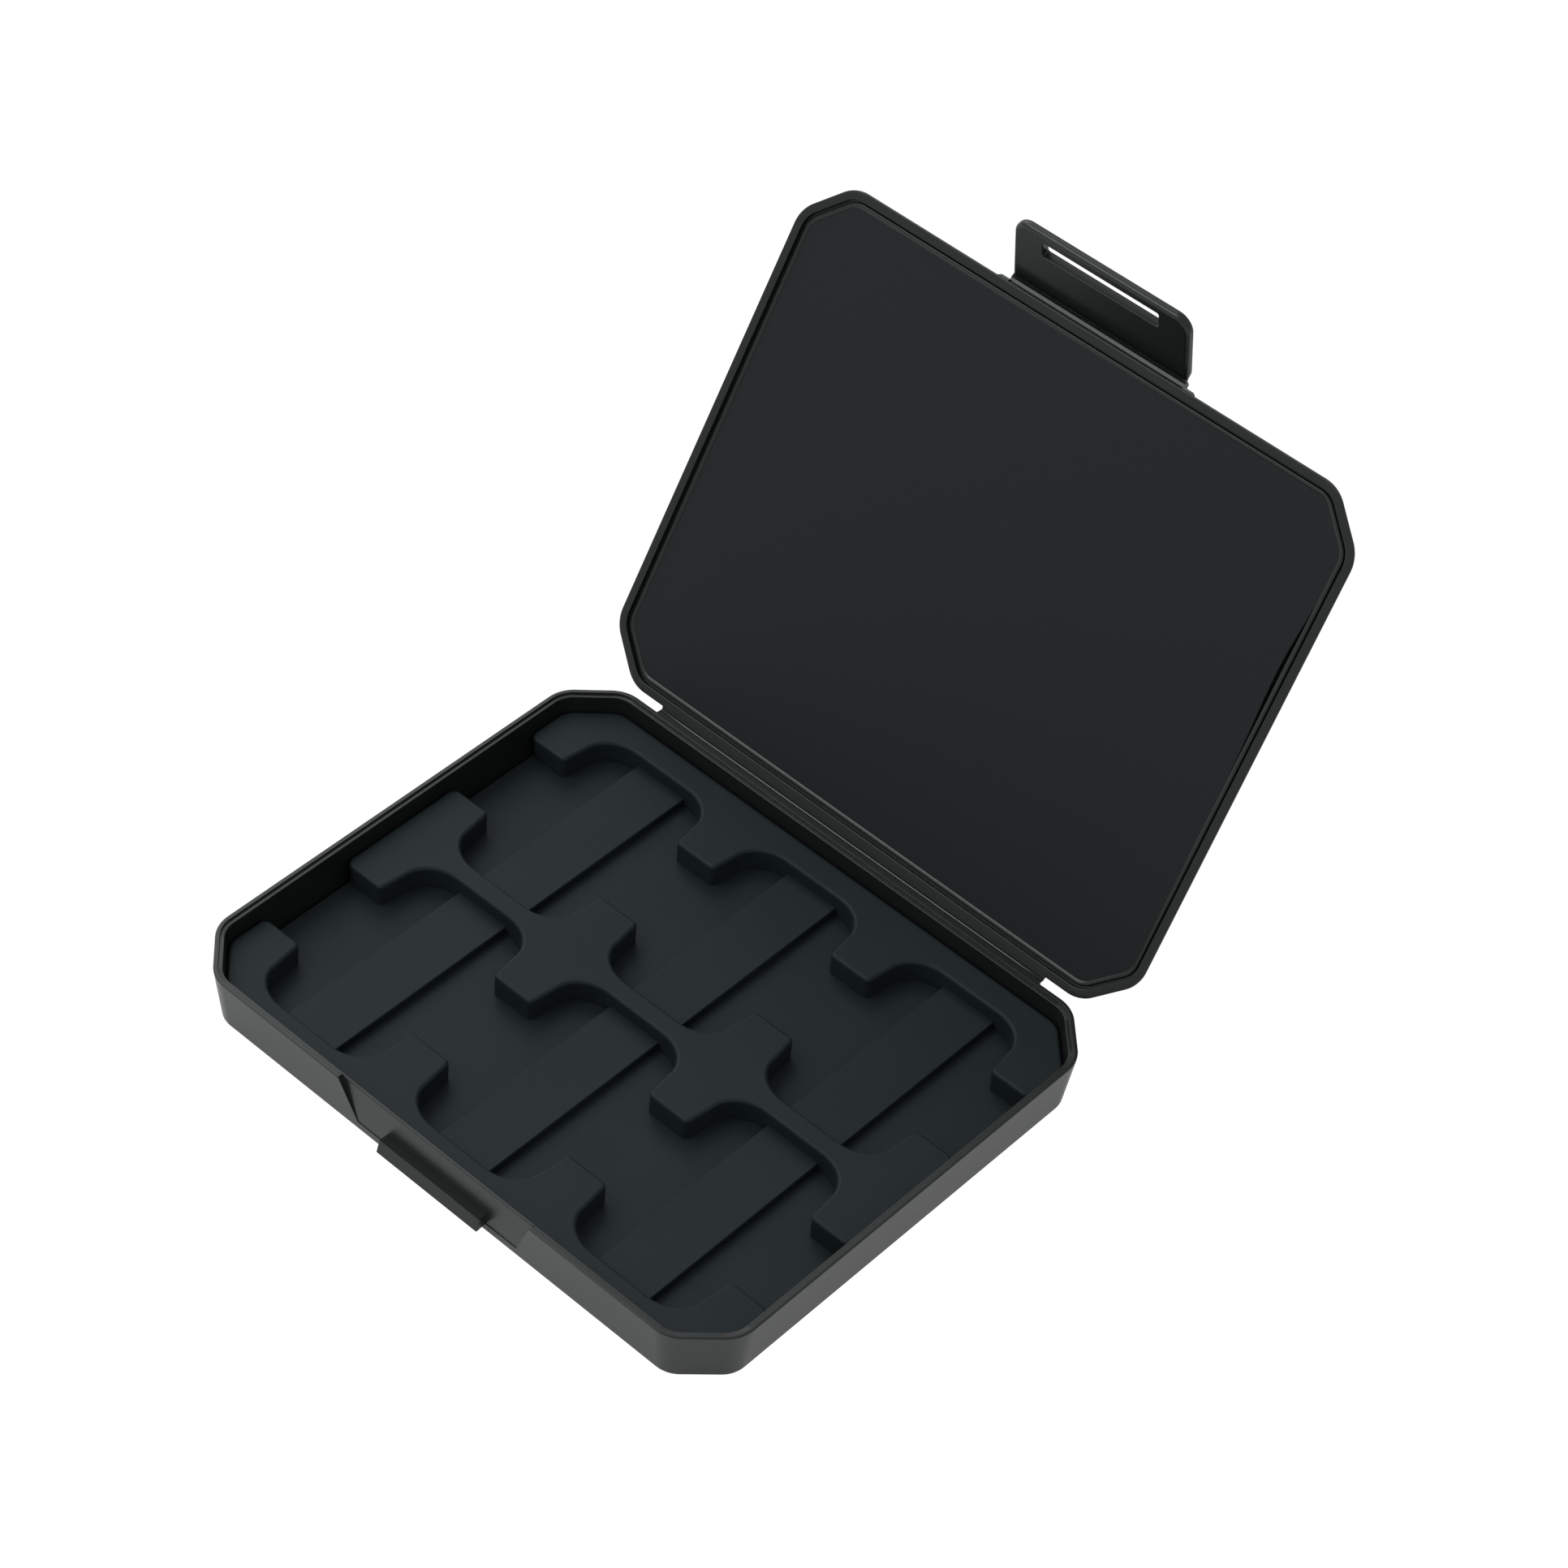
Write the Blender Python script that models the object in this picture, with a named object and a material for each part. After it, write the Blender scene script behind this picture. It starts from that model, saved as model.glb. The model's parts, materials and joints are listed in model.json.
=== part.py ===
"""Lens filter case: a shallow moulded case with a six-pocket tray insert, a lined lid and a
snap latch. The case stands on Z = 0, its origin is under its middle, the hinge is at +Y.
The lid is modelled closed and then opened on its crease, and the latch rides on the lid."""

import math

import bmesh
import bpy
from mathutils import Matrix, Vector

# Outline of the case from above, in metres
LENGTH = 0.110
DEPTH = 0.090
CORNER_CUT = 0.0077
CORNER_SOFT = 0.006
SOFT_STEPS = 5
TIP_STEPS = 3

# Clearances
FIT = 0.0003
SIDE_FIT = 0.00015
LID_REST = 0.00015

# How far joined shapes reach into each other, how far in the middle of a quarter round lies for a
# radius of one, and the angle over which an edge stays sharp in the shading
JOIN = 0.0004
ARC = 1 - math.sqrt(0.5)
SHARP_ANGLE = math.radians(28)

# Base shell
BASE_HEIGHT = 0.01014
WALL = 0.00147
FLOOR = 0.0015
DRAFT = math.radians(6.75)
LAND = 0.00078
RIM_STEP = 0.00038
EDGE = 0.00015
FOOT_ROUND = 0.0003
FLOOR_ROUND = 0.0006

# Latch recess in the front wall, and the catch on its floor
RECESS_DEPTH = 0.00098
RECESS_TOP_HALF = 0.0192
RECESS_LOW_HALF = 0.0165
RECESS_LOW_Z = 0.0018
RECESS_SIDE = math.radians(42.5)
CATCH_HALF = 0.01055
CATCH_TOP = 0.00415
CATCH_HEIGHT = 0.0022
CATCH_SHELF = 0.0015
CATCH_SLOPE = 0.0006
CATCH_UNDERCUT = 0.0003
CATCH_EDGE = 0.00012

# Main hinge: two thin strips that meet at the crease
HINGE_LENGTH = 0.081
HINGE_REACH = 0.0007
HINGE_DROP = 0.00006
HINGE_LEAF = 0.00045
CREASE_GAP = 0.00014
LID_REACH = 0.000565
LID_ANGLE = math.radians(119.8)

# Lid, as heights below the plane of its flange
LID_THICK = 0.0031
LID_SLOPE = math.radians(28)
LID_ROUND = 0.0009
FLANGE = 0.0015
GROOVE_DEPTH = 0.00095
GROOVE = 0.00035
BEAD = 0.00087
BEAD_DEPTH = 0.00055
POCKET_DEPTH = 0.0016
LINER_PROUD = 0.0003

# Latch: a tongue on the lid, and a flap with a slot that drops over the catch
LATCH_NOTCH = 0.00025
TONGUE_DEPTH = 0.0019
TONGUE_REACH = 0.00075
SHOULDER = 0.0023
SHOULDER_RUN = 0.00125
SHOULDER_STEP = 0.0009
SHOULDER_IN = 0.0003
LATCH_HALF = 0.0171
LATCH_LENGTH = 0.0121
LATCH_THICK = 0.0015
LATCH_TAPER = 0.0002
LATCH_TIP_ROUND = 0.0028
LATCH_EDGE = 0.0004
LATCH_WEB = 0.0004
LATCH_ANGLE = math.radians(38.5)
LIP = 0.0017
SLOT_OVER = 0.0006
SLOT_SIDE = 0.0007
SLOT_LEAN = 0.00035
SLOT_ROUND = 0.0004

# Tray insert
TRAY_TOP = 0.00704
TRAY_FLOOR = 0.00104
TRAY_EDGE = 0.00045
FRONT_STRIP = 0.00355
BACK_STRIP = 0.0049
BAND = 0.00355
BAND_SHIFT = -0.00023
COLUMNS = 3
PITCH = 0.0328
STUB = 0.0080
STUB_SPREAD = 0.00065
STUB_ROUND = 0.0006
CORNER_X = 0.0062
CORNER_Y = 0.0050
FINGER_GAP = 0.0168
FINGER_SHIFT = 0.0002
BAR = 0.0103
BAR_HEIGHT = 0.00155
BAR_EDGE = 0.0002
FLOOR_SETBACK = 0.00025

# Worked out from the sizes above
HALF_X = LENGTH / 2
HALF_Y = DEPTH / 2
LEAN = math.tan(DRAFT)
HINGE_Y = HALF_Y + HINGE_REACH
HINGE_Z = BASE_HEIGHT - HINGE_DROP
LID_Z = BASE_HEIGHT + LID_REST
RECESS_Y = -HALF_Y + RECESS_DEPTH


def material(name, colour, roughness):
    """A plain plastic with its colour and sheen."""
    made = bpy.data.materials.new(name)
    made.use_nodes = True
    shader = made.node_tree.nodes["Principled BSDF"]
    shader.inputs["Base Color"].default_value = (*colour, 1.0)
    shader.inputs["Roughness"].default_value = roughness
    shader.inputs["Metallic"].default_value = 0.0
    return made


def add_object(name, bm, made=None):
    """A new object from a bmesh, with outward faces; without a material it is a hidden tool."""
    bmesh.ops.recalc_face_normals(bm, faces=bm.faces)
    mesh = bpy.data.meshes.new(name)
    bm.to_mesh(mesh)
    bm.free()
    obj = bpy.data.objects.new(name, mesh)
    bpy.context.scene.collection.objects.link(obj)
    if made is None:
        obj.hide_render = True
        obj.display_type = "WIRE"
        return obj
    mesh.materials.append(made)
    mesh.shade_smooth()
    mesh.set_sharp_from_angle(angle=SHARP_ANGLE)
    return obj


def combine(obj, tool, operation):
    """Joins a tool's shape to the object, or cuts it away."""
    modifier = obj.modifiers.new(tool.name, "BOOLEAN")
    modifier.object = tool
    modifier.operation = operation
    modifier.solver = "EXACT"


def rounded(corners, steps=SOFT_STEPS):
    """A closed outline from (x, y, radius) corners, each corner turned into an arc."""
    points = []
    for index, (x, y, radius) in enumerate(corners):
        corner = Vector((x, y))
        before = Vector(corners[index - 1][:2]) - corner
        after = Vector(corners[(index + 1) % len(corners)][:2]) - corner
        if radius <= 0:
            points.append(corner)
            continue
        before.normalize()
        after.normalize()
        half = before.angle(after) / 2
        centre = corner + (before + after).normalized() * (radius / math.sin(half))
        start = corner + before * (radius / math.tan(half)) - centre
        turn = start.angle_signed(corner + after * (radius / math.tan(half)) - centre)
        for step in range(steps + 1):
            points.append(centre + Matrix.Rotation(-turn * step / steps, 2) @ start)
    return points


def outline(inset):
    """The case outline moved in by inset all round: straight sides, cut corners, soft joints."""
    x = HALF_X - inset
    y = HALF_Y - inset
    cut = CORNER_CUT - inset * (2 - math.sqrt(2))
    soft = max(CORNER_SOFT - inset, EDGE)
    return rounded([
        (-x + cut, -y, soft), (x - cut, -y, soft), (x, -y + cut, soft), (x, y - cut, soft),
        (x - cut, y, soft), (-x + cut, y, soft), (-x, y - cut, soft), (-x, -y + cut, soft),
    ])


def loft(rings):
    """A closed body through rings of equal count, with a flat cap on the first and the last."""
    bm = bmesh.new()
    loops = [[bm.verts.new(point) for point in ring] for ring in rings]
    for low, high in zip(loops, loops[1:]):
        for i in range(len(low)):
            bm.faces.new((low[i - 1], low[i], high[i], high[i - 1]))
    bm.faces.new(loops[0][::-1])
    bm.faces.new(loops[-1])
    return bm


def at_height(points, z):
    """Flat points lifted to one height."""
    return [(point[0], point[1], z) for point in points]


def sweep(profile):
    """The case outline swept along a wall section of (inset, z) pairs."""
    return loft([at_height(outline(inset), z) for inset, z in profile])


def extrude_x(section, half):
    """A (y, z) section drawn out along X to both sides."""
    return loft([[(side * half, y, z) for y, z in section] for side in (-1, 1)])


def wall_inset(z):
    """How far the base's inner wall stands in from the outline at a height."""
    return WALL + LEAN * (BASE_HEIGHT - z)


def base_section():
    """The base's wall section from under the floor, over the rim and down to the floor."""
    foot = LEAN * BASE_HEIGHT
    rim = BASE_HEIGHT - RIM_STEP
    return [
        (foot + FOOT_ROUND, 0.0),
        (foot + FOOT_ROUND * ARC, FOOT_ROUND * ARC),
        (foot - LEAN * FOOT_ROUND, FOOT_ROUND),
        (LEAN * EDGE, BASE_HEIGHT - EDGE),
        (EDGE * ARC, BASE_HEIGHT - EDGE * ARC),
        (EDGE, BASE_HEIGHT),
        (LAND - EDGE, BASE_HEIGHT),
        (LAND, BASE_HEIGHT - EDGE),
        (LAND, rim),
        (WALL - EDGE, rim),
        (WALL, rim - EDGE),
        (wall_inset(FLOOR + FLOOR_ROUND), FLOOR + FLOOR_ROUND),
        (wall_inset(FLOOR) + FLOOR_ROUND * ARC, FLOOR + FLOOR_ROUND * ARC),
        (wall_inset(FLOOR) + FLOOR_ROUND, FLOOR),
    ]


def recess_tool():
    """The latch recess: an upright floor in the leaning wall, with slanted ends."""
    top = BASE_HEIGHT + RECESS_DEPTH
    low = RECESS_LOW_Z - RECESS_DEPTH
    widen = (RECESS_TOP_HALF - RECESS_LOW_HALF) / (BASE_HEIGHT - RECESS_LOW_Z)
    out = 2 * RECESS_DEPTH
    rings = []
    for z in (low, top):
        half = RECESS_LOW_HALF + widen * (z - RECESS_LOW_Z)
        wide = half + out * math.tan(RECESS_SIDE)
        rings.append([
            (-wide, RECESS_Y - out, z), (wide, RECESS_Y - out, z),
            (half, RECESS_Y, z), (-half, RECESS_Y, z),
        ])
    return add_object("recess_tool", loft(rings))


def catch_tool():
    """The catch: a level top, a face that leans out downward and an undercut below."""
    low = CATCH_TOP - CATCH_HEIGHT
    shelf = RECESS_Y - CATCH_SHELF
    root = RECESS_Y + JOIN
    section = [
        (root, CATCH_TOP), (shelf, CATCH_TOP), (shelf - CATCH_SLOPE, low + CATCH_EDGE),
        (shelf - CATCH_SLOPE + CATCH_EDGE, low), (root, low + CATCH_UNDERCUT),
    ]
    return add_object("catch_tool", extrude_x(section, CATCH_HALF))


def base_leaf_tool():
    """The base's half of the hinge strip, let into the back wall."""
    top = HINGE_Z - CREASE_GAP / 2
    back = HINGE_Y - CREASE_GAP
    root = HALF_Y - JOIN
    low = top - HINGE_LEAF
    section = [(root, top), (back, top), (back, low), (root, low - HINGE_LEAF)]
    return add_object("base_leaf_tool", extrude_x(section, HINGE_LENGTH / 2))


def make_base(plastic):
    """The tub with its stepped rim, latch recess, catch and half of the hinge."""
    base = add_object("base_shell", sweep(base_section()), plastic)
    combine(base, recess_tool(), "DIFFERENCE")
    combine(base, catch_tool(), "UNION")
    combine(base, base_leaf_tool(), "UNION")
    return base


def tray_inset(z):
    """How far the tray stands in from the outline, a slip fit inside the base's wall."""
    return wall_inset(z) + SIDE_FIT


def tray_rows():
    """The (front, back) limits in Y of the two rows of pockets."""
    front = -HALF_Y + tray_inset(TRAY_TOP) + FRONT_STRIP
    back = HALF_Y - tray_inset(TRAY_TOP) - BACK_STRIP
    return [(front, BAND_SHIFT - BAND / 2), (BAND_SHIFT + BAND / 2, back)]


def columns():
    """The X of each pocket's middle."""
    return [PITCH * (index - (COLUMNS - 1) / 2) for index in range(COLUMNS)]


def pocket_side(column, side, wall, tip):
    """One side of a pocket's end, from its stub's tip to the flat of its end wall."""
    mouth = (PITCH - STUB) / 2
    narrow = mouth - STUB_SPREAD
    turn = math.copysign(CORNER_Y, tip - wall)
    points = [Vector((column + side * mouth, tip))]
    for step in range(SOFT_STEPS + 1):
        angle = math.pi / 2 * step / SOFT_STEPS
        x = narrow - CORNER_X * (1 - math.cos(angle))
        y = wall + turn * (1 - math.sin(angle))
        points.append(Vector((column + side * x, y)))
    return points


def comb(wall, tip):
    """The edge of a strip with its stubs, from right to left, for one side of one row."""
    points = []
    for column in reversed(columns()):
        points += pocket_side(column, 1, wall, tip)
        points += pocket_side(column, -1, wall, tip)[::-1]
    return points


def soft_tips(points, tip):
    """Gives the stub corners that lie on the line Y = tip their small radius."""
    limit = (COLUMNS * PITCH - STUB) / 2 + STUB_SPREAD
    corners = []
    for point in points:
        at_tip = abs(point.y - tip) < EDGE / 10 and abs(point.x) < limit
        corners.append((point.x, point.y, STUB_ROUND if at_tip else 0.0))
    return corners


def finger_edges(row):
    """The Y limits of the finger gap across a row."""
    middle = (row[0] + row[1]) / 2 + FINGER_SHIFT
    return middle - FINGER_GAP / 2, middle + FINGER_GAP / 2


def end_island(inset, wall, tip):
    """The plan of a strip along the front or back, with its corners and stubs."""
    sign = math.copysign(1.0, wall)
    x = HALF_X - inset
    ring = [point for point in outline(inset) if point.y * sign > tip * sign]
    right = sorted((p for p in ring if p.x > 0), key=lambda p: p.y * sign)
    left = sorted((p for p in ring if p.x < 0), key=lambda p: -p.y * sign)
    points = [Vector((-x, tip)), *comb(wall, tip)[::-1], Vector((x, tip)), *right, *left]
    return rounded(soft_tips(points, tip), TIP_STEPS)


def band_island(inset, rows):
    """The plan of the band between the rows, with stubs on both sides."""
    x = HALF_X - inset
    front_tip = finger_edges(rows[0])[1]
    back_tip = finger_edges(rows[1])[0]
    front = [Vector((-x, front_tip)), *comb(rows[0][1], front_tip)[::-1], Vector((x, front_tip))]
    back = [Vector((x, back_tip)), *comb(rows[1][0], back_tip), Vector((-x, back_tip))]
    return rounded(soft_tips(front, front_tip) + soft_tips(back, back_tip), TIP_STEPS)


def island_tool(name, plan):
    """A raised part of the tray: its plan at the foot and the top, with a soft top edge."""
    foot = FLOOR + FIT + JOIN
    bm = loft([at_height(plan(tray_inset(z)), z) for z in (foot, TRAY_TOP)])
    top = [edge for edge in bm.edges if min(vert.co.z for vert in edge.verts) > foot]
    bmesh.ops.bevel(bm, geom=top, offset=TRAY_EDGE, segments=2, profile=0.5, affect="EDGES",
                    clamp_overlap=True)
    return add_object(name, bm)


def bar_tool(name, column, row):
    """A flat raised bar down the middle of a pocket, rooted in both end walls."""
    low = FLOOR + FIT + JOIN
    top = FLOOR + FIT + TRAY_FLOOR + BAR_HEIGHT
    half = BAR / 2
    section = [
        (-half, low), (half, low), (half, top - BAR_EDGE), (half - BAR_EDGE, top),
        (-half + BAR_EDGE, top), (-half, top - BAR_EDGE),
    ]
    rings = [[(column + x, y, z) for x, z in section] for y in (row[0] - JOIN, row[1] + JOIN)]
    return add_object(name, loft(rings))


def make_tray(plastic):
    """The soft insert: one moulding with a floor, three strips with stubs and six bars."""
    low = FLOOR + FIT
    top = low + TRAY_FLOOR
    floor = [at_height(outline(tray_inset(z) + FLOOR_SETBACK + extra), z)
             for z, extra in ((low, FLOOR_ROUND), (low + FLOOR_ROUND / 2, 0.0), (top, 0.0))]
    tray = add_object("pocket_insert", loft(floor), plastic)
    rows = tray_rows()
    front_tip = finger_edges(rows[0])[0]
    back_tip = finger_edges(rows[1])[1]
    tools = [
        island_tool("front_strip_tool", lambda inset: end_island(inset, rows[0][0], front_tip)),
        island_tool("band_tool", lambda inset: band_island(inset, rows)),
        island_tool("back_strip_tool", lambda inset: end_island(inset, rows[1][1], back_tip)),
    ]
    for side, row in zip(("front", "back"), rows):
        for index, column in enumerate(columns()):
            tools.append(bar_tool(f"{side}_bar_{index + 1}_tool", column, row))
    for tool in tools:
        combine(tray, tool, "UNION")
    return tray


def lid_section():
    """The lid's section from its outer face up its sloped side and in to the liner's pocket."""
    side = (LID_THICK - LID_ROUND * (1 - math.sin(LID_SLOPE)) - EDGE) * math.tan(LID_SLOPE)
    groove = FLANGE + GROOVE
    crown = []
    for step in range(SOFT_STEPS + 1):
        angle = (math.pi / 2 - LID_SLOPE) * step / SOFT_STEPS
        crown.append((side + LID_ROUND * (math.cos(LID_SLOPE) - math.sin(angle)),
                      -LID_THICK + LID_ROUND * (1 - math.cos(angle))))
    ridge = []
    for step in range(SOFT_STEPS + 1):
        angle = math.pi * step / SOFT_STEPS
        ridge.append((groove + BEAD * (1 - math.cos(angle)) / 2,
                      -GROOVE_DEPTH + (GROOVE_DEPTH - BEAD_DEPTH) * math.sin(angle)))
    return [
        *crown, (0.0, -EDGE), (EDGE * ARC, -EDGE * ARC), (EDGE, 0.0),
        (FLANGE - EDGE, 0.0), (FLANGE, -EDGE), (FLANGE, -GROOVE_DEPTH), *ridge, (groove + BEAD, -POCKET_DEPTH),
    ]


def lid_point(x, v, n):
    """A place on the lid, from its hinge edge v and above its flange n, about the crease."""
    return (x, -(v + LID_REACH), LID_Z - HINGE_Z - n)


def lid_slab(corners, low, high):
    """A flat body on the lid between two heights, from (x, v) corners."""
    return loft([[lid_point(x, v, n) for x, v in corners] for n in (low, high)])


def tongue_corners(root, end):
    """The plan of the tongue that carries the latch, with its slanted shoulders."""
    wide = LATCH_HALF + SHOULDER
    narrow = LATCH_HALF + SHOULDER_IN
    low = DEPTH + TONGUE_REACH - SHOULDER_RUN
    high = DEPTH + TONGUE_REACH - SHOULDER_STEP
    return [(-wide, root), (wide, root), (wide, low), (narrow, high), (LATCH_HALF, end),
            (-LATCH_HALF, end), (-narrow, high), (-wide, low)]


def make_lid(plastic):
    """The lid shell, with the groove and bead round its liner, the tongue and half of the hinge."""
    rings = []
    for inset, n in lid_section():
        rings.append([lid_point(point.x, point.y + HALF_Y, n) for point in outline(inset)])
    lid = add_object("lid_shell", loft(rings), plastic)

    wide = LATCH_HALF + SHOULDER
    edge = DEPTH - LATCH_NOTCH
    notch = [(-wide, edge), (wide, edge), (wide, DEPTH + FLANGE), (-wide, DEPTH + FLANGE)]
    combine(lid, add_object("notch_tool", lid_slab(notch, -TONGUE_DEPTH, FLANGE)), "DIFFERENCE")

    tongue = tongue_corners(DEPTH - FLANGE, DEPTH + TONGUE_REACH - CREASE_GAP)
    under = -LID_THICK + EDGE
    combine(lid, add_object("tongue_tool", lid_slab(tongue, under, -TONGUE_DEPTH)), "UNION")

    half = HINGE_LENGTH / 2
    start = CREASE_GAP - LID_REACH
    leaf = [(-half, start), (half, start), (half, JOIN), (-half, JOIN)]
    combine(lid, add_object("lid_leaf_tool", lid_slab(leaf, -EDGE - HINGE_LEAF, -EDGE)), "UNION")
    lid.location = (0, HINGE_Y, HINGE_Z)
    lid.rotation_euler.x = -LID_ANGLE
    return lid


def make_liner(lid, foam):
    """The dark pad inside the lid, a slip fit in the pocket that the bead surrounds."""
    wall = FLANGE + GROOVE + BEAD + FIT
    low = -POCKET_DEPTH + FIT
    top = -LINER_PROUD
    rings = []
    for inset, n in ((wall, low), (wall, top - EDGE), (wall + EDGE, top)):
        rings.append([lid_point(point.x, point.y + HALF_Y, n) for point in outline(inset)])
    liner = add_object("lid_liner", loft(rings), foam)
    liner.parent = lid
    return liner


def flap_ring(inset, start, height):
    """The flap's outline at one height over its inner face: square at the crease, soft at the tip."""
    root = LATCH_HALF - inset
    tip = root - LATCH_TAPER
    end = LATCH_LENGTH - inset
    soft = LATCH_TIP_ROUND - inset
    corners = [(-root, start, 0), (root, start, 0), (tip, end, soft), (-tip, end, soft)]
    return [(point.x, -point.y, -height) for point in rounded(corners)]


def slot_tool():
    """The slot: clear of the catch all round, its crease side leaning out toward the lid."""
    lip = LATCH_LENGTH - LIP
    near = lip - CATCH_HEIGHT - SLOT_OVER
    half = CATCH_HALF + SLOT_SIDE
    spare = LATCH_THICK / 2
    rings = []
    for height in (-LATCH_THICK - spare, spare):
        start = near + SLOT_LEAN * height / LATCH_THICK
        corners = [(-half, start, SLOT_ROUND), (half, start, SLOT_ROUND),
                   (half, lip, SLOT_ROUND), (-half, lip, SLOT_ROUND)]
        rings.append([(point.x, -point.y, -height) for point in rounded(corners, TIP_STEPS)])
    return add_object("slot_tool", loft(rings))


def make_flap(lid, plastic):
    """The latch flap, thinned at the crease, with the slot that the catch comes through."""
    heel = CREASE_GAP + LATCH_THICK - LATCH_WEB
    levels = [
        (LATCH_EDGE, CREASE_GAP, 0.0),
        (LATCH_EDGE * ARC, CREASE_GAP, -LATCH_EDGE * ARC),
        (0.0, CREASE_GAP, -LATCH_WEB),
        (0.0, heel - LATCH_EDGE, -LATCH_THICK + LATCH_EDGE),
        (LATCH_EDGE * ARC, heel - LATCH_EDGE * ARC, -LATCH_THICK + LATCH_EDGE * ARC),
        (LATCH_EDGE, heel, -LATCH_THICK),
    ]
    flap = add_object("latch_flap", loft([flap_ring(*level) for level in levels]), plastic)
    tool = slot_tool()
    combine(flap, tool, "DIFFERENCE")
    flap.parent = lid
    tool.parent = flap
    flap.location = lid_point(0, DEPTH + TONGUE_REACH, -TONGUE_DEPTH)
    flap.rotation_euler.x = LATCH_ANGLE
    return flap


def main():
    for obj in list(bpy.data.objects):
        bpy.data.objects.remove(obj)
    shell = material("shell_plastic", (0.030, 0.033, 0.034), 0.42)
    soft = material("insert_plastic", (0.024, 0.031, 0.033), 0.60)
    foam = material("liner_pad", (0.018, 0.020, 0.022), 0.85)
    make_base(shell)
    make_tray(soft)
    lid = make_lid(shell)
    make_liner(lid, foam)
    make_flap(lid, shell)
    for name in ("notch_tool", "tongue_tool", "lid_leaf_tool"):
        bpy.data.objects[name].parent = lid


main()
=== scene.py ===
"""Fine surfaces, finishes and a studio for a lens filter case.

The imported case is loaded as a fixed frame. Each moulded piece gets a fine surface in the same
place, worked out with numpy, and a finish made of shader nodes. Lengths are in metres. The case
stands on Z = 0 with its hinge at +Y and its lid open, and the latch hangs from the lid's free edge.
"""

import json
import math

import bpy
import numpy as np
from bpy.props import FloatProperty, FloatVectorProperty, PointerProperty
from mathutils import Matrix, Vector

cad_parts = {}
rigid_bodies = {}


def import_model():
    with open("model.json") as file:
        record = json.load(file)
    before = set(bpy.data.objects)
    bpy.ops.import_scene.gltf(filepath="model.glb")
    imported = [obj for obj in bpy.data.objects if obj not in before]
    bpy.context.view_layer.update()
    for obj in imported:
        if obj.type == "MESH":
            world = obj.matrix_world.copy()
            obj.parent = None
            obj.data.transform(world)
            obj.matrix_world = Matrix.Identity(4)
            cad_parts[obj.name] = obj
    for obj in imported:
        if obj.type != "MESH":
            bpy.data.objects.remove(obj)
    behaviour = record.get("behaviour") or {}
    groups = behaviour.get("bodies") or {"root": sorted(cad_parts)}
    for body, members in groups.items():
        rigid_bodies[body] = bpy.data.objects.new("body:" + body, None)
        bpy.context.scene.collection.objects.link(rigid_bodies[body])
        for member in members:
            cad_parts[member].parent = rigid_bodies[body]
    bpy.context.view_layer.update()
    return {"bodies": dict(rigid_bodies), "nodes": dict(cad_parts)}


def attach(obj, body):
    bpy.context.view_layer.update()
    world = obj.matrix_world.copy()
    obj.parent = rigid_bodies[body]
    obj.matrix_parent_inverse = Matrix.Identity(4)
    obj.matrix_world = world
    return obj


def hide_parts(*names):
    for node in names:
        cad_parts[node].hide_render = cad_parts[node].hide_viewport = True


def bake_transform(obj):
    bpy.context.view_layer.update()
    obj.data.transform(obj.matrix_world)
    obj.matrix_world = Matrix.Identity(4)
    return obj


bl_info = {
    "name": "Lens Filter Case",
    "version": (1, 0, 0),
    "blender": (4, 5, 0),
    "location": "View3D > Sidebar > Filter Case",
    "description": "Builds the fine surfaces, finishes and studio of a hinged lens filter case",
    "category": "Object",
}

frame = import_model()

TINY = 1e-9

# Smoothness of arcs and runs, as the number of steps in each
CORNER_STEPS = 12
CORNER_POINTS = CORNER_STEPS + 1
EDGE_STEPS = 4
POCKET_STEPS = 24
BEAD_STEPS = 14
CREEP_STEPS = 40
WEB_STEPS = 11
HINGE_WEB_STEPS = 13
RECESS_STEPS = 16
WALL_ROWS = 9

# Meshes: where the shading breaks, how much large faces lead it, and where points count as one
SHARP_ANGLE = math.radians(32)
FACE_WEIGHT = 100
WELD_DIGITS = 8

# Shared clearances
FIT = 0.0003
SIDE_FIT = 0.00015
LID_REST = 0.00015
JOIN = 0.0004
CREASE_GAP = 0.00014

# Base: foot, rim and floor
DRAFT = math.tan(math.radians(6.75))
WALL_LOW = 0.0026
WALL_HIGH = 0.0090
FLOOR = 0.0015
LAND = 0.00078
RIM_STEP = 0.00038
RIM_ROUND = 0.0002
LAND_ROUND = 0.00008
STEP_ROUND = 0.00004
RIM_LEDGE_ROUND = 0.00012
FOOT_ROUND = 0.0003
FLOOR_ROUND = 0.0006
CAP_INSET = 0.004

# Latch recess and catch in the front wall
RECESS_DEPTH = 0.00098
RECESS_TOP_HALF = 0.0199
RECESS_LOW_HALF = 0.0166
RECESS_LOW_Z = 0.0018
RECESS_DEEPER = 0.00028
RECESS_RUN = 0.03
RECESS_SQUARE = 2.5
RECESS_EDGE = 0.00008
RECESS_MARKS = (0.005, 0.0105, 0.0145)
FRONT_MARKS = (0.024, 0.032, 0.040)
LAND_MARK = 0.01
CATCH_HALF = 0.01055
CATCH_TOP = 0.00410
CATCH_HEIGHT = 0.0022
CATCH_SHELF = 0.0015
CATCH_SLOPE = 0.0006
CATCH_UNDERCUT = 0.0003
CATCH_ROUND = 0.00007
CATCH_END_ROUND = 0.0002

# Main hinge
HINGE_HALF = 0.0405
HINGE_REACH = 0.0007
HINGE_DROP = 0.00006
HINGE_LEAF = 0.00045
HINGE_END = 0.00015
HINGE_MARKS = (0.01, 0.02, 0.03)
HINGE_WEB_OVER = 0.25
HINGE_WEB_DIP = 0.00003
HINGE_WEB_THICK = HINGE_LEAF / 3
LID_REACH = 0.000565

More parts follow.
